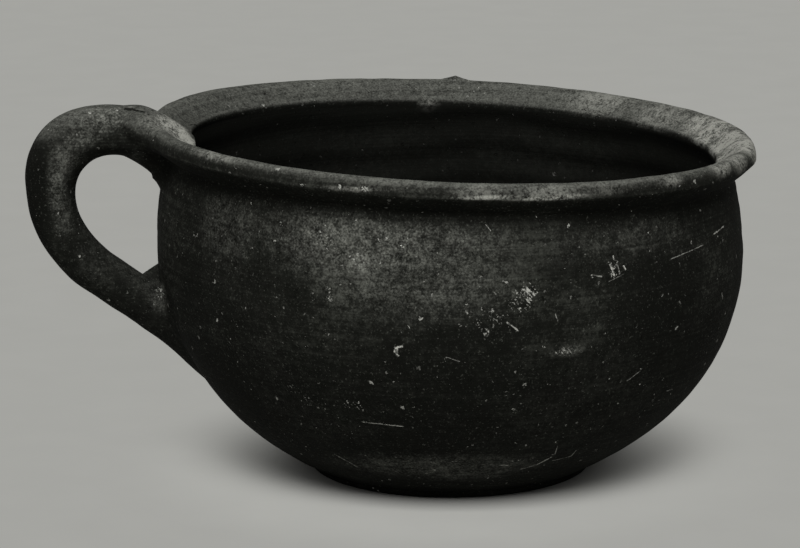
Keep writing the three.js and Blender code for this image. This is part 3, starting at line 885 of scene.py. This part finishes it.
def stroke_clay(bm, field, times):
    """Evens out the vertices and settles them on the surface again, time after time."""
    near, longest, half = 0.05 * MM, 0.8 * MM, 0.5
    corners = [Vector(corner) for corner in ((1, 1, 1), (1, -1, -1), (-1, 1, -1), (-1, -1, 1))]
    for _ in range(times):
        bmesh.ops.smooth_vert(
            bm, verts=bm.verts[:], factor=half, use_axis_x=True, use_axis_y=True, use_axis_z=True
        )
        for vert in bm.verts:
            gaps = [field(vert.co + corner * near) for corner in corners]
            rise = sum((corner * gap for corner, gap in zip(corners, gaps)), Vector())
            rise /= len(corners) * near
            move = rise * (-sum(gaps) / len(gaps) / max(rise.length_squared, half))
            vert.co += move * min(1.0, longest / max(move.length, near * near))


def smear_clay(name, node, luting, centre, reach, field):
    """Presses a ball of clay on to the surface where the field is zero and strokes it smooth."""
    bm = bmesh.new()
    place = Matrix.Translation(centre) @ Matrix.Diagonal((*reach, 1))
    bmesh.ops.create_icosphere(bm, subdivisions=luting.fineness, radius=1, matrix=place)
    press_clay(bm, centre, field)
    stroke_clay(bm, field, luting.strokings)
    return finish_mesh(name, bm, "luting_clay", node)


def smear_share(point, centre, reach):
    """0 at the middle of a smear and 1 at its wandering edge."""
    offset = point - centre
    scaled = Vector((offset.x / reach.x, offset.y / reach.y, offset.z / reach.z))
    return scaled.length + lumpy(point, EDGE_WANDER)


def carried_on(foot, slope, half_thick, half_wide):
    """A function that measures how far a point is outside a coil that runs straight on along a slope."""
    across = slope_step(slope - TURN / 4, 1)

    def measure(point):
        offset = point - foot
        return (math.hypot(offset.dot(across) / half_thick, offset.y / half_wide) - 1) * half_thick

    return measure


def model_upper_luting(luting, handle, wall_thick, line, wall, coil):
    """Clay smeared from the coil over the lip: a smooth flow on the near side, a crease on the far side."""
    centre = in_plane(line.crest - UPPER_IN, line.top - UPPER_DEEP)
    at_lip = in_plane(line.rim, line.beside_handle - handle.upper_drop)
    underside = slope_step(handle.upper_slope - TURN / 4, 1)
    least = min(UPPER_REACH)
    corner = in_plane(line.wall(luting.root_height), luting.root_height)
    outwards = slope_step(luting.root_slope, 1)
    half = handle.thickness / 2
    filled = carried_on(
        corner + slope_step(luting.root_slope + TURN / 4, half), luting.root_slope, half, handle.width / 2
    )

    def field(point):
        part = smear_share(point, centre, UPPER_REACH)
        radius = math.hypot(point.x, point.y)
        fill = max(filled(point), (point - corner).dot(outwards) - luting.root_run)
        fill = max(fill, line.neck - wall_thick / 2 - radius)
        near = ease(*NEAR_SIDE, -point.y) * ease(line.crest - NEAR_CREST, line.rim, radius)
        below = ease(*ROOT_UNDER, (point - at_lip).dot(underside))
        blend = mix(mix(luting.far_blend, luting.near_blend, near), luting.root_blend, below)
        skin = rounded_union(wall(point), rounded_union(coil(point), fill, luting.root_blend), blend)
        saddle = ease(*SADDLE_EDGE, point.y) if point.y > 0 else math.exp(-((point.y / SADDLE_WIDTH) ** 2))
        over = saddle * ease(line.rim + SADDLE_OUT, line.rim, radius)
        over *= ease(line.top - SADDLE_DOWN, line.top + SADDLE_UP, point.z)
        pressed = skin - mix(luting.smear * over + FILM, -luting.feather, ease(*SMEAR_FADE, part))
        return max(pressed, (part - 1) * least)

    return smear_clay("upper_smear", "upper_luting", luting, centre, UPPER_REACH, field)


def model_lower_luting(luting, handle, wall_thick, line, wall, coil):
    """Clay pressed into the corner of the coil and the belly: a thumbed lump near, a web on the far side."""
    foot = in_plane(line.wall(handle.lower_height), handle.lower_height)
    centre = foot + LOWER_MIDDLE
    least = min(LOWER_REACH)
    lump = foot + LUMP_PLACE
    underside = slope_step(handle.lower_slope - TURN / 4, 1)
    run_on = carried_on(foot, handle.lower_slope, handle.tail_thickness / 2, handle.tail_width / 2)

    def field(point):
        part = smear_share(point, centre, LOWER_REACH)
        blend = mix(luting.crotch_blend, luting.web_blend, ease(*FAR_SIDE, point.y))
        below = ease(*TAIL_UNDER, (point - foot).dot(underside))
        depth = (line.wall(point.z) - math.hypot(point.x, point.y)) / wall_thick
        run = min(coil(point), max(run_on(point), (depth - 0.5) * wall_thick))
        clay = wall(point)
        skin = rounded_union(clay, run, mix(blend, luting.tail_blend, below))
        far = ease(*WEB_SIDE, point.y) * (1 - below) * (1 - ease(0, WEB_DEPTH, depth))
        skin = min(skin, (clay + run - luting.web_size * far) / math.sqrt(2))
        thick = FILM + LUMP_HEIGHT * math.exp(-(((point - lump).length / LUMP_SIZE) ** 2))
        thin = max(ease(*SMEAR_FADE, part), ease(*ROOT_DEPTH, depth))
        return max(skin - mix(thick, -luting.feather, thin), (part - 1) * least)

    return smear_clay("lower_smear", "lower_luting", luting, centre, LOWER_REACH, field)


def camera_back(stage):
    """Direction from the camera's target to the camera."""
    level = math.cos(stage.elevation)
    return Vector(
        (math.sin(stage.azimuth) * level, -math.cos(stage.azimuth) * level, math.sin(stage.elevation))
    )


def add_camera(stage):
    """Camera at the photograph's viewing angle and framing."""
    data = bpy.data.cameras.new("camera")
    data.lens = stage.lens
    data.sensor_fit = "HORIZONTAL"
    data.shift_x = 0.5 - TARGET_PIXEL[0] / PHOTO_WIDTH
    data.shift_y = (TARGET_PIXEL[1] - PHOTO_HEIGHT / 2) / PHOTO_WIDTH
    camera = bpy.data.objects.new("camera", data)
    back = camera_back(stage)
    camera.location = UP * stage.target_height + back * stage.distance
    camera.rotation_mode = "QUATERNION"
    camera.rotation_quaternion = (-back).to_track_quat("-Z", "Y")
    bpy.context.scene.collection.objects.link(camera)
    bpy.context.scene.camera = camera
    return camera


def pixel_ray(pixel):
    """Start and direction of the sight line through a pixel of the photograph."""
    camera = bpy.context.scene.camera
    data = camera.data
    per_width = data.sensor_width / data.lens
    across = (pixel[0] / PHOTO_WIDTH - 0.5 + data.shift_x) * per_width
    upwards = ((PHOTO_HEIGHT / 2 - pixel[1]) / PHOTO_WIDTH + data.shift_y) * per_width
    direction = camera.rotation_quaternion @ Vector((across, upwards, -1))
    return camera.location.copy(), direction.normalized()


def add_light(name, place, target, size, power):
    """A soft square light that shines at a target."""
    data = bpy.data.lights.new(name, "AREA")
    data.size = size
    data.energy = power
    lamp = bpy.data.objects.new(name, data)
    lamp.location = place
    lamp.rotation_mode = "QUATERNION"
    lamp.rotation_quaternion = (target - place).to_track_quat("-Z", "Y")
    bpy.context.scene.collection.objects.link(lamp)


def link(tree, source, socket):
    """Feeds a socket from another socket, or sets it to a plain value."""
    if isinstance(source, bpy.types.NodeSocket):
        tree.links.new(source, socket)
    else:
        socket.default_value = source


def maths(tree, operation, *values, clamp=False):
    """Output of a Math node."""
    node = tree.nodes.new("ShaderNodeMath")
    node.operation = operation
    node.use_clamp = clamp
    for value, socket in zip(values, node.inputs):
        link(tree, value, socket)
    return node.outputs[0]


def times(tree, first, *others, clamp=False):
    """Product of values."""
    for value in others:
        first = maths(tree, "MULTIPLY", first, value, clamp=clamp)
    return first


def most(tree, first, *others, clamp=False):
    """Greatest of values."""
    for value in others:
        first = maths(tree, "MAXIMUM", first, value, clamp=clamp)
    return first


def missing(tree, value):
    """What a share leaves of the whole."""
    return maths(tree, "SUBTRACT", 1.0, value)


def vectors(tree, operation, *values, output="Vector"):
    """Output of a Vector Math node."""
    node = tree.nodes.new("ShaderNodeVectorMath")
    node.operation = operation
    for value, socket in zip(values, node.inputs):
        link(tree, value, socket)
    return node.outputs[output]


def span(tree, value, low, high):
    """Smooth step of a value from 0 at low to 1 at high."""
    node = tree.nodes.new("ShaderNodeMapRange")
    node.interpolation_type = "SMOOTHSTEP"
    link(tree, value, node.inputs["Value"])
    link(tree, low, node.inputs["From Min"])
    link(tree, high, node.inputs["From Max"])
    return node.outputs["Result"]


def speckle(tree, place, scale, detail, rough):
    """Grey noise on a place."""
    node = tree.nodes.new("ShaderNodeTexNoise")
    link(tree, place, node.inputs["Vector"])
    node.inputs["Scale"].default_value = scale
    node.inputs["Detail"].default_value = detail
    node.inputs["Roughness"].default_value = rough
    return node.outputs[0]


def blended(tree, values, shares):
    """Sum of named values, each taken by its share."""
    total = 0.0
    for name, part in shares.items():
        total = maths(tree, "MULTIPLY_ADD", values[name], part, total)
    return total


def shown(tree, values, mark):
    """0 where a mark is missing from the clay and 1 where it shows."""
    return span(tree, blended(tree, values, mark.shares), mark.low, mark.high)


def streaks(tree, place, size, slant):
    """A place drawn out into streaks of that size, turned by the slant in the upright plane."""
    node = tree.nodes.new("ShaderNodeMapping")
    node.vector_type = "TEXTURE"
    node.inputs["Rotation"].default_value = (0, slant, 0)
    node.inputs["Scale"].default_value = size
    link(tree, place, node.inputs["Vector"])
    return node.outputs[0]


def ruffled(tree, place, scale, amount):
    """A place pushed about by noise, so that what is laid out in it gets ragged edges."""
    node = tree.nodes.new("ShaderNodeTexNoise")
    link(tree, place, node.inputs["Vector"])
    node.inputs["Scale"].default_value = scale
    return vectors(tree, "MULTIPLY_ADD", node.outputs["Color"], (amount, amount, amount), place)


def flecks(tree, place, scale, rarity, widest):
    """Crisp spots in some of the cells that fill a place, up to the widest share of a cell."""
    cells = tree.nodes.new("ShaderNodeTexVoronoi")
    cells.inputs["Scale"].default_value = scale
    link(tree, place, cells.inputs["Vector"])
    chance = tree.nodes.new("ShaderNodeSeparateColor")
    link(tree, cells.outputs["Color"], chance.inputs[0])
    spot = times(tree, span(tree, chance.outputs["Red"], rarity, 1.0), widest)
    crisp = span(tree, cells.outputs["Distance"], spot, times(tree, spot, FLECK_CORE))
    uneven = maths(tree, "MULTIPLY_ADD", chance.outputs["Green"], FLECK_UNEVEN, 1 - FLECK_UNEVEN)
    return times(tree, crisp, uneven)


def tint(tree, part, under, over):
    """Colour between two others."""
    node = tree.nodes.new("ShaderNodeMix")
    node.data_type = "RGBA"
    link(tree, part, node.inputs[0])
    link(tree, under if isinstance(under, bpy.types.NodeSocket) else (*under, 1), node.inputs[6])
    link(tree, over if isinstance(over, bpy.types.NodeSocket) else (*over, 1), node.inputs[7])
    return node.outputs[2]


def attribute(tree, name):
    """A number kept on the piece's own vertices."""
    node = tree.nodes.new("ShaderNodeAttribute")
    node.attribute_name = name
    return node.outputs["Fac"]


def stroke_mask(tree, layer, waver):
    """1 on the strokes of a layer and 0 beside them, with a wavering edge."""
    node = tree.nodes.new("ShaderNodeAttribute")
    node.attribute_name = layer
    local = tree.nodes.new("ShaderNodeSeparateXYZ")
    link(tree, node.outputs["Vector"], local.inputs[0])
    beside = maths(tree, "ABSOLUTE", maths(tree, "ADD", local.outputs["X"], waver))
    from_middle = maths(tree, "ABSOLUTE", maths(tree, "SUBTRACT", local.outputs["Y"], 0.5))
    on_line = span(tree, beside, *STROKE_EDGE)
    between = span(tree, from_middle, *STROKE_END)
    return times(tree, on_line, between, local.outputs["Z"])


def all_strokes(tree, layers, waver):
    """1 on the strokes of any of the layers and 0 beside them."""
    return most(tree, 0.0, *(stroke_mask(tree, layer, waver) for layer in layers))


def nearby(piece):
    """A function that lists a piece's vertices within a distance of a point."""
    verts = piece.data.vertices
    tree = KDTree(len(verts))
    for vert in verts:
        tree.insert(vert.co, vert.index)
    tree.balance()
    return lambda middle, distance: [verts[found[1]] for found in tree.find_range(middle, distance)]


def paint_patches(piece, name, patches, sight, around):
    """Paints patches on a piece's vertices, each found by its pixel, as a named number."""
    layer = piece.data.attributes.new(name, "FLOAT", "POINT")
    values = [0.0] * len(piece.data.vertices)
    right = bpy.context.scene.camera.rotation_quaternion @ Vector((1, 0, 0))
    for patch in patches:
        middle, _ = sight(patch.middle)
        across, upwards = patch.across * MM, patch.up * MM
        widest = max(across, upwards)
        for vert in around(middle, PATCH_SEARCH * widest):
            offset = vert.co - middle
            beside = offset.dot(right)
            inwards = (offset - right * beside - UP * offset.z).length / widest
            away = math.sqrt((beside / across) ** 2 + (offset.z / upwards) ** 2 + inwards**2)
            strength = patch.strength * (1 - ease(*PATCH_FADE, away))
            values[vert.index] = max(values[vert.index], strength)
    layer.data.foreach_set("value", values)


def stroke_layers(strokes):
    """Sorts strokes into layers in which no two lie close together."""
    layers = []
    for stroke in strokes:
        middle, half = stroke.start.lerp(stroke.end, 0.5), (stroke.end - stroke.start).length / 2
        for layer in layers:
            if all((middle - other[0]).length > half + other[1] + 2 * STROKE_MARGIN for other, _ in layer):
                break
        else:
            layer = []
            layers.append(layer)
        layer.append(((middle, half), stroke))
    return [[stroke for _, stroke in layer] for layer in layers]


def paint_strokes(piece, name, strokes, around):
    """Keeps each vertex's place beside and along the stroke near it, and the stroke's strength."""
    layer = piece.data.attributes.new(name, "FLOAT_VECTOR", "POINT")
    values = [NO_STROKE] * len(piece.data.vertices)
    for stroke in strokes:
        step = stroke.end - stroke.start
        side = stroke.normal.cross(step).normalized() / stroke.width
        for vert in around(stroke.start.lerp(stroke.end, 0.5), step.length / 2 + STROKE_MARGIN):
            offset = vert.co - stroke.start
            along = offset.dot(step) / step.length_squared
            beside = (offset - step * min(max(along, 0.0), 1.0)).length
            strength = stroke.strength if beside < STROKE_REACH else 0.0
            values[vert.index] = (offset.dot(side), along, strength)
    layer.data.foreach_set("vector", [number for value in values for number in value])


def clay_material(name, clay, line, body, line_layers, crease_shade_layers):
    """Fired coarse clay: mottled, gritty and matt, with dust, fire-blackening, painted shade, a painted
    highlight, pits, wheel lines and marks of lime.
    """
    material = bpy.data.materials.new(name)
    material.use_nodes = True
    tree = material.node_tree
    shader = tree.nodes["Principled BSDF"]
    place = tree.nodes.new("ShaderNodeTexCoord").outputs["Object"]
    split = tree.nodes.new("ShaderNodeSeparateXYZ")
    link(tree, place, split.inputs[0])
    facing = tree.nodes.new("ShaderNodeSeparateXYZ")
    link(tree, tree.nodes.new("ShaderNodeNewGeometry").outputs["Normal"], facing.inputs[0])
    level = maths(tree, "MULTIPLY_ADD", split.outputs["X"], body.rim_rise / line.rim, split.outputs["Z"])
    inside, bloom, crust, worn, painted_shade_patches = (
        attribute(tree, kind) for kind in ("inside", "dust", "crust", "wear", "soot_and_shade")
    )
    noises = {kind: speckle(tree, place, *numbers) for kind, numbers in NOISES.items()}
    noises["wheel"] = speckle(tree, streaks(tree, place, WHEEL_STREAK, 0), *WHEEL_NOISE)
    noises["hatch"] = speckle(tree, streaks(tree, place, HATCH_STREAK, CRUST_SLANT), *HATCH_NOISE)
    noises["bloom"] = bloom

    # Common tone of the clay, from broad clouds down to grit and wheel lines
    ramp = tree.nodes.new("ShaderNodeValToRGB")
    link(tree, blended(tree, noises, TONE), ramp.inputs[0])
    dark, light = ramp.color_ramp.elements
    dark.position, light.position = DARK_TONE, LIGHT_TONE
    dark.color, light.color = (*clay.dark, 1), (*clay.light, 1)
    ramp.color_ramp.elements.new(MIDDLE_TONE).color = (*clay.middle, 1)

    # Lower body darker, as fire-blackening and as painted shade; painted shade in patches and in the hollow
    # under the lip; and the light grains between
    low_dark = maths(tree, "MULTIPLY_ADD", noises["blotch"], LOW_DARK_WANDER, split.outputs["Z"])
    low_dark = times(tree, span(tree, low_dark, *LOW_DARK_LINE), LOW_DARK_SHARE)
    # Painted shade patches on the sides and under the loop
    broken_painted_shade = times(tree, painted_shade_patches, shown(tree, noises, SHADE_BREAKUP))
    out = vectors(tree, "LENGTH", vectors(tree, "MULTIPLY", place, (1, 1, 0)), output="Value")
    nose = line.top - body.nose_drop
    # Painted shade in the hollow under the lip
    below = span(tree, level, *(nose + height for height in LIP_SHADE))
    below = times(tree, below, span(tree, out, line.rim + RIM_PAST, line.rim))
    painted_lip_shade = times(tree, below, span(tree, level, *(line.neck_height + height for height in NECK_SHADE)))
    noises["soot_and_shade"] = most(tree, low_dark, broken_painted_shade, times(tree, painted_lip_shade, LIP_SHADE_SHARE))
    colour_now = tint(tree, noises["soot_and_shade"], ramp.outputs["Color"], clay.soot_and_shade)
    grains = times(tree, shown(tree, noises, GRAINS), blended(tree, noises, GRAIN_CROWD), clamp=True)
    colour_now = tint(tree, grains, colour_now, clay.light)

    # Dry bloom on faces that look up, on the rim and in patches on the front
    rim = span(tree, level, *(line.throat_height + height for height in RIM_DUST))
    lying = span(tree, facing.outputs["Z"], *LYING)
    lying = times(tree, lying, maths(tree, "MULTIPLY_ADD", rim, RIM_LYING, COMMON_LYING))
    dry = times(tree, shown(tree, noises, DRY), missing(tree, painted_lip_shade))
    dusty = most(tree, lying, times(tree, bloom, dry))
    dust = times(tree, dusty, shown(tree, noises, BROKEN), clamp=True)
    colour_now = tint(tree, dust, colour_now, clay.dust)

    # Edges and high places rubbed pale, a painted highlight on the lip's crest, and the inside painted near
    # black, as sooting and as painted shade in the hollow
    rubbed = times(tree, worn, shown(tree, noises, RUBBED), clamp=True)
    colour_now = tint(tree, rubbed, colour_now, clay.wear)
    colour_now = tint(tree, times(tree, inside, INSIDE_SOOT_AND_SHADE), colour_now, clay.soot_and_shade)

    # Lime: strokes, broken crusts with slanting streaks, and stray flecks
    waver = maths(tree, "MULTIPLY_ADD", speckle(tree, place, *WAVER_NOISE), WAVER, -WAVER / 2)
    unbroken = maths(tree, "MULTIPLY_ADD", shown(tree, noises, STROKE_GAPS), GAP_DEPTH, 1 - GAP_DEPTH)
    strokes = times(tree, all_strokes(tree, line_layers, waver), unbroken)
    edge = maths(tree, "MULTIPLY_ADD", crust, -CRUST_FILL, CRUST_LEVEL)
    clots = span(tree, blended(tree, noises, CRUMBS), edge, maths(tree, "ADD", edge, CRUST_SOFT))
    ragged = ruffled(tree, place, *RAGGED)
    stray = most(tree, *(flecks(tree, ragged, *numbers) for numbers in FLECKS))
    crowd = maths(tree, "SUBTRACT", blended(tree, noises, FLECK_CROWD), FLECK_RARE)
    stray = times(tree, stray, crowd, clamp=True)
    outside = missing(tree, times(tree, inside, INSIDE_CLEAN))
    lime = times(tree, most(tree, times(tree, clots, CRUST_SHARE), stray), outside)
    noises["lime"] = most(tree, lime, strokes, clamp=True)
    colour_now = tint(tree, noises["lime"], colour_now, clay.lime)

    # Pits where grit has fallen out, and painted shade in the creases
    pits = times(tree, flecks(tree, ragged, *PITS), PIT_SHARE)
    noises["pits"] = most(tree, pits, all_strokes(tree, crease_shade_layers, waver), clamp=True)
    colour_now = tint(tree, noises["pits"], colour_now, clay.dark)

    relief = tree.nodes.new("ShaderNodeBump")
    relief.inputs["Strength"].default_value = RELIEF_STRENGTH
    relief.inputs["Distance"].default_value = RELIEF_DEPTH
    link(tree, blended(tree, noises, RELIEF), relief.inputs["Height"])
    link(tree, relief.outputs["Normal"], shader.inputs["Normal"])
    link(tree, colour_now, shader.inputs["Base Color"])
    rough = maths(tree, "MULTIPLY_ADD", noises["grit"], ROUGH_SPREAD, ROUGH_LEAST, clamp=True)
    link(tree, rough, shader.inputs["Roughness"])
    shader.inputs["Specular IOR Level"].default_value = CLAY_SHEEN
    return material


def seen_directly(tree):
    """1 on what the camera sees, also by reflection or through glass, and 0 on what only gives light."""
    path = tree.nodes.new("ShaderNodeLightPath")
    rays = ("Is Camera Ray", "Is Glossy Ray", "Is Transmission Ray")
    return most(tree, *(path.outputs[ray] for ray in rays))


def mixed(tree, part, under, over):
    """Shader between the shaders of two nodes."""
    node = tree.nodes.new("ShaderNodeMixShader")
    link(tree, part, node.inputs[0])
    link(tree, under.outputs[0], node.inputs[1])
    link(tree, over.outputs[0], node.inputs[2])
    return node.outputs[0]


def floor_material(stage):
    """Pale matt floor with a faint tooth, whose shadow the camera sees softened."""
    material = bpy.data.materials.new("pale_floor")
    material.use_nodes = True
    tree = material.node_tree
    shader = tree.nodes["Principled BSDF"]
    place = tree.nodes.new("ShaderNodeTexCoord").outputs["Object"]
    worn = tuple(FLOOR_WORN * channel for channel in stage.floor_colour)
    tone = tint(tree, speckle(tree, place, *FLOOR_NOISE), worn, tuple(stage.floor_colour))
    link(tree, tone, shader.inputs["Base Color"])
    shader.inputs["Roughness"].default_value = FLOOR_ROUGH
    shader.inputs["Specular IOR Level"].default_value = FLOOR_SHEEN
    ground = tree.nodes.new("ShaderNodeEmission")
    link(tree, tone, ground.inputs["Color"])
    ground.inputs["Strength"].default_value = stage.backdrop
    away = span(tree, vectors(tree, "LENGTH", place, output="Value"), stage.shadow_near, stage.shadow_far)
    either = mixed(tree, times(tree, seen_directly(tree), away), shader, ground)
    link(tree, either, tree.nodes["Material Output"].inputs["Surface"])
    return material


def light_world(stage):
    """Even light from all round, which the camera sees as the floor's own tone."""
    world = bpy.data.worlds.new("studio")
    bpy.context.scene.world = world
    world.use_nodes = True
    tree = world.node_tree
    tree.nodes.clear()
    light, backdrop = (tree.nodes.new("ShaderNodeBackground") for _ in range(2))
    light.inputs["Color"].default_value = (1, 1, 1, 1)
    light.inputs["Strength"].default_value = stage.sky
    backdrop.inputs["Color"].default_value = (*stage.floor_colour, 1)
    backdrop.inputs["Strength"].default_value = stage.backdrop
    either = mixed(tree, seen_directly(tree), light, backdrop)
    link(tree, either, tree.nodes.new("ShaderNodeOutputWorld").inputs["Surface"])


class CUP_OT_stage(bpy.types.Operator):
    """Add the camera, the soft lights and the pale floor"""

    bl_idname = "cup.stage"
    bl_label = "Stage"

    def execute(self, context):
        stage = context.scene.cup_stage
        context.scene.view_settings.view_transform = "Standard"
        add_camera(stage)
        aim = UP * stage.target_height
        add_light("overhead", OVERHEAD_PLACE, aim, OVERHEAD_SIZE, stage.overhead)
        add_light("front", FRONT_PLACE, aim, FRONT_SIZE, stage.front)
        light_world(stage)
        bm = bmesh.new()
        bmesh.ops.create_grid(bm, x_segments=FLOOR_CELLS, y_segments=FLOOR_CELLS, size=FLOOR_HALF)
        mesh = bpy.data.meshes.new("floor")
        bm.to_mesh(mesh)
        bm.free()
        floor = bpy.data.objects.new("floor", mesh)
        context.scene.collection.objects.link(floor)
        mesh.materials.append(floor_material(stage))
        return {"FINISHED"}


class CUP_OT_thrown_body(bpy.types.Operator):
    """Spin the thrown body"""

    bl_idname = "cup.thrown_body"
    bl_label = "Thrown body"

    def execute(self, context):
        body = context.scene.cup_body
        model_body(body, Outline(body))
        return {"FINISHED"}


class CUP_OT_handle(bpy.types.Operator):
    """Roll the coil of the loop handle"""

    bl_idname = "cup.handle"
    bl_label = "Handle"

    def execute(self, context):
        model_handle(context.scene.cup_handle, Outline(context.scene.cup_body))
        return {"FINISHED"}


class CUP_OT_lutings(bpy.types.Operator):
    """Smear clay over the handle's upper and lower joins"""

    bl_idname = "cup.lutings"
    bl_label = "Luting clay"

    def execute(self, context):
        scene = context.scene
        line = Outline(scene.cup_body)
        wall = depth_gauge(bpy.data.objects["cup_wall"])
        coil = depth_gauge(bpy.data.objects["cup_handle"])
        model_upper_luting(scene.cup_luting, scene.cup_handle, scene.cup_body.wall, line, wall, coil)
        model_lower_luting(scene.cup_luting, scene.cup_handle, scene.cup_body.wall, line, wall, coil)
        return {"FINISHED"}


class CUP_OT_fired_clay(bpy.types.Operator):
    """Dress every piece in fired clay"""

    bl_idname = "cup.fired_clay"
    bl_label = "Fired clay"

    def execute(self, context):
        scene = context.scene
        names = ("cup_wall", "cup_handle", "upper_smear", "lower_smear")
        pieces = [bpy.data.objects[name] for name in names]
        depsgraph = context.evaluated_depsgraph_get()
        trees = [BVHTree.FromObject(piece, depsgraph) for piece in pieces]

        def sight(pixel):
            start, direction = pixel_ray(pixel)
            hits = [tree.ray_cast(start, direction) for tree in trees]
            found = [hit for hit in hits if hit[0] is not None]
            if not found:
                raise RuntimeError(f"no clay lies behind the pixel {pixel}")
            place, normal, _, _ = min(found, key=lambda hit: hit[3])
            return place, normal

        def scratch(stroke):
            start, normal = sight(stroke.start)
            end, _ = sight(stroke.end)
            return Scratch(start, end, normal, stroke.width * MM, stroke.strength)

        def sorted_strokes(kind, strokes):
            layers = stroke_layers([scratch(stroke) for stroke in strokes])
            return {f"{kind}_{number}": layer for number, layer in enumerate(layers)}

        lines, crease_shades = sorted_strokes("strokes", STROKES), sorted_strokes("crease_shades", CREASE_SHADES)
        line = Outline(scene.cup_body)
        ware = clay_material("coarse_ware", scene.cup_clay, line, scene.cup_body, lines, crease_shades)
        slip = clay_material("luting_clay", scene.cup_clay, line, scene.cup_body, lines, crease_shades)
        for piece in pieces:
            around = nearby(piece)
            for name, patches in PATCHES.items():
                paint_patches(piece, name, patches, sight, around)
            for name, strokes in (lines | crease_shades).items():
                paint_strokes(piece, name, strokes, around)
            piece.data.materials.append(slip if piece.name.endswith("smear") else ware)
        return {"FINISHED"}


class CUP_PT_panel(bpy.types.Panel):
    """Lists the steps that make the cup"""

    bl_label = "Coarse ware cup"
    bl_idname = "CUP_PT_panel"
    bl_space_type = "VIEW_3D"
    bl_region_type = "UI"
    bl_category = "Cup"

    def draw(self, context):
        for operator in OPERATORS:
            self.layout.operator(operator.bl_idname)


SETTINGS = {
    "cup_body": BodySettings,
    "cup_handle": HandleSettings,
    "cup_luting": LutingSettings,
    "cup_clay": ClaySettings,
    "cup_stage": StageSettings,
}
OPERATORS = (CUP_OT_stage, CUP_OT_thrown_body, CUP_OT_handle, CUP_OT_lutings, CUP_OT_fired_clay)


def register():
    """Adds the settings, the operators and the panel."""
    for name, group in SETTINGS.items():
        bpy.utils.register_class(group)
        setattr(bpy.types.Scene, name, PointerProperty(type=group))
    for item in (*OPERATORS, CUP_PT_panel):
        bpy.utils.register_class(item)


def unregister():
    """Takes the panel, the operators and the settings away again."""
    for item in (CUP_PT_panel, *reversed(OPERATORS)):
        bpy.utils.unregister_class(item)
    for name, group in SETTINGS.items():
        delattr(bpy.types.Scene, name)
        bpy.utils.unregister_class(group)


def main():
    """Makes the cup on its stage."""
    register()
    bpy.ops.cup.stage()
    bpy.ops.cup.thrown_body()
    bpy.ops.cup.handle()
    bpy.ops.cup.lutings()
    bpy.ops.cup.fired_clay()


if __name__ == "__main__":
    main()
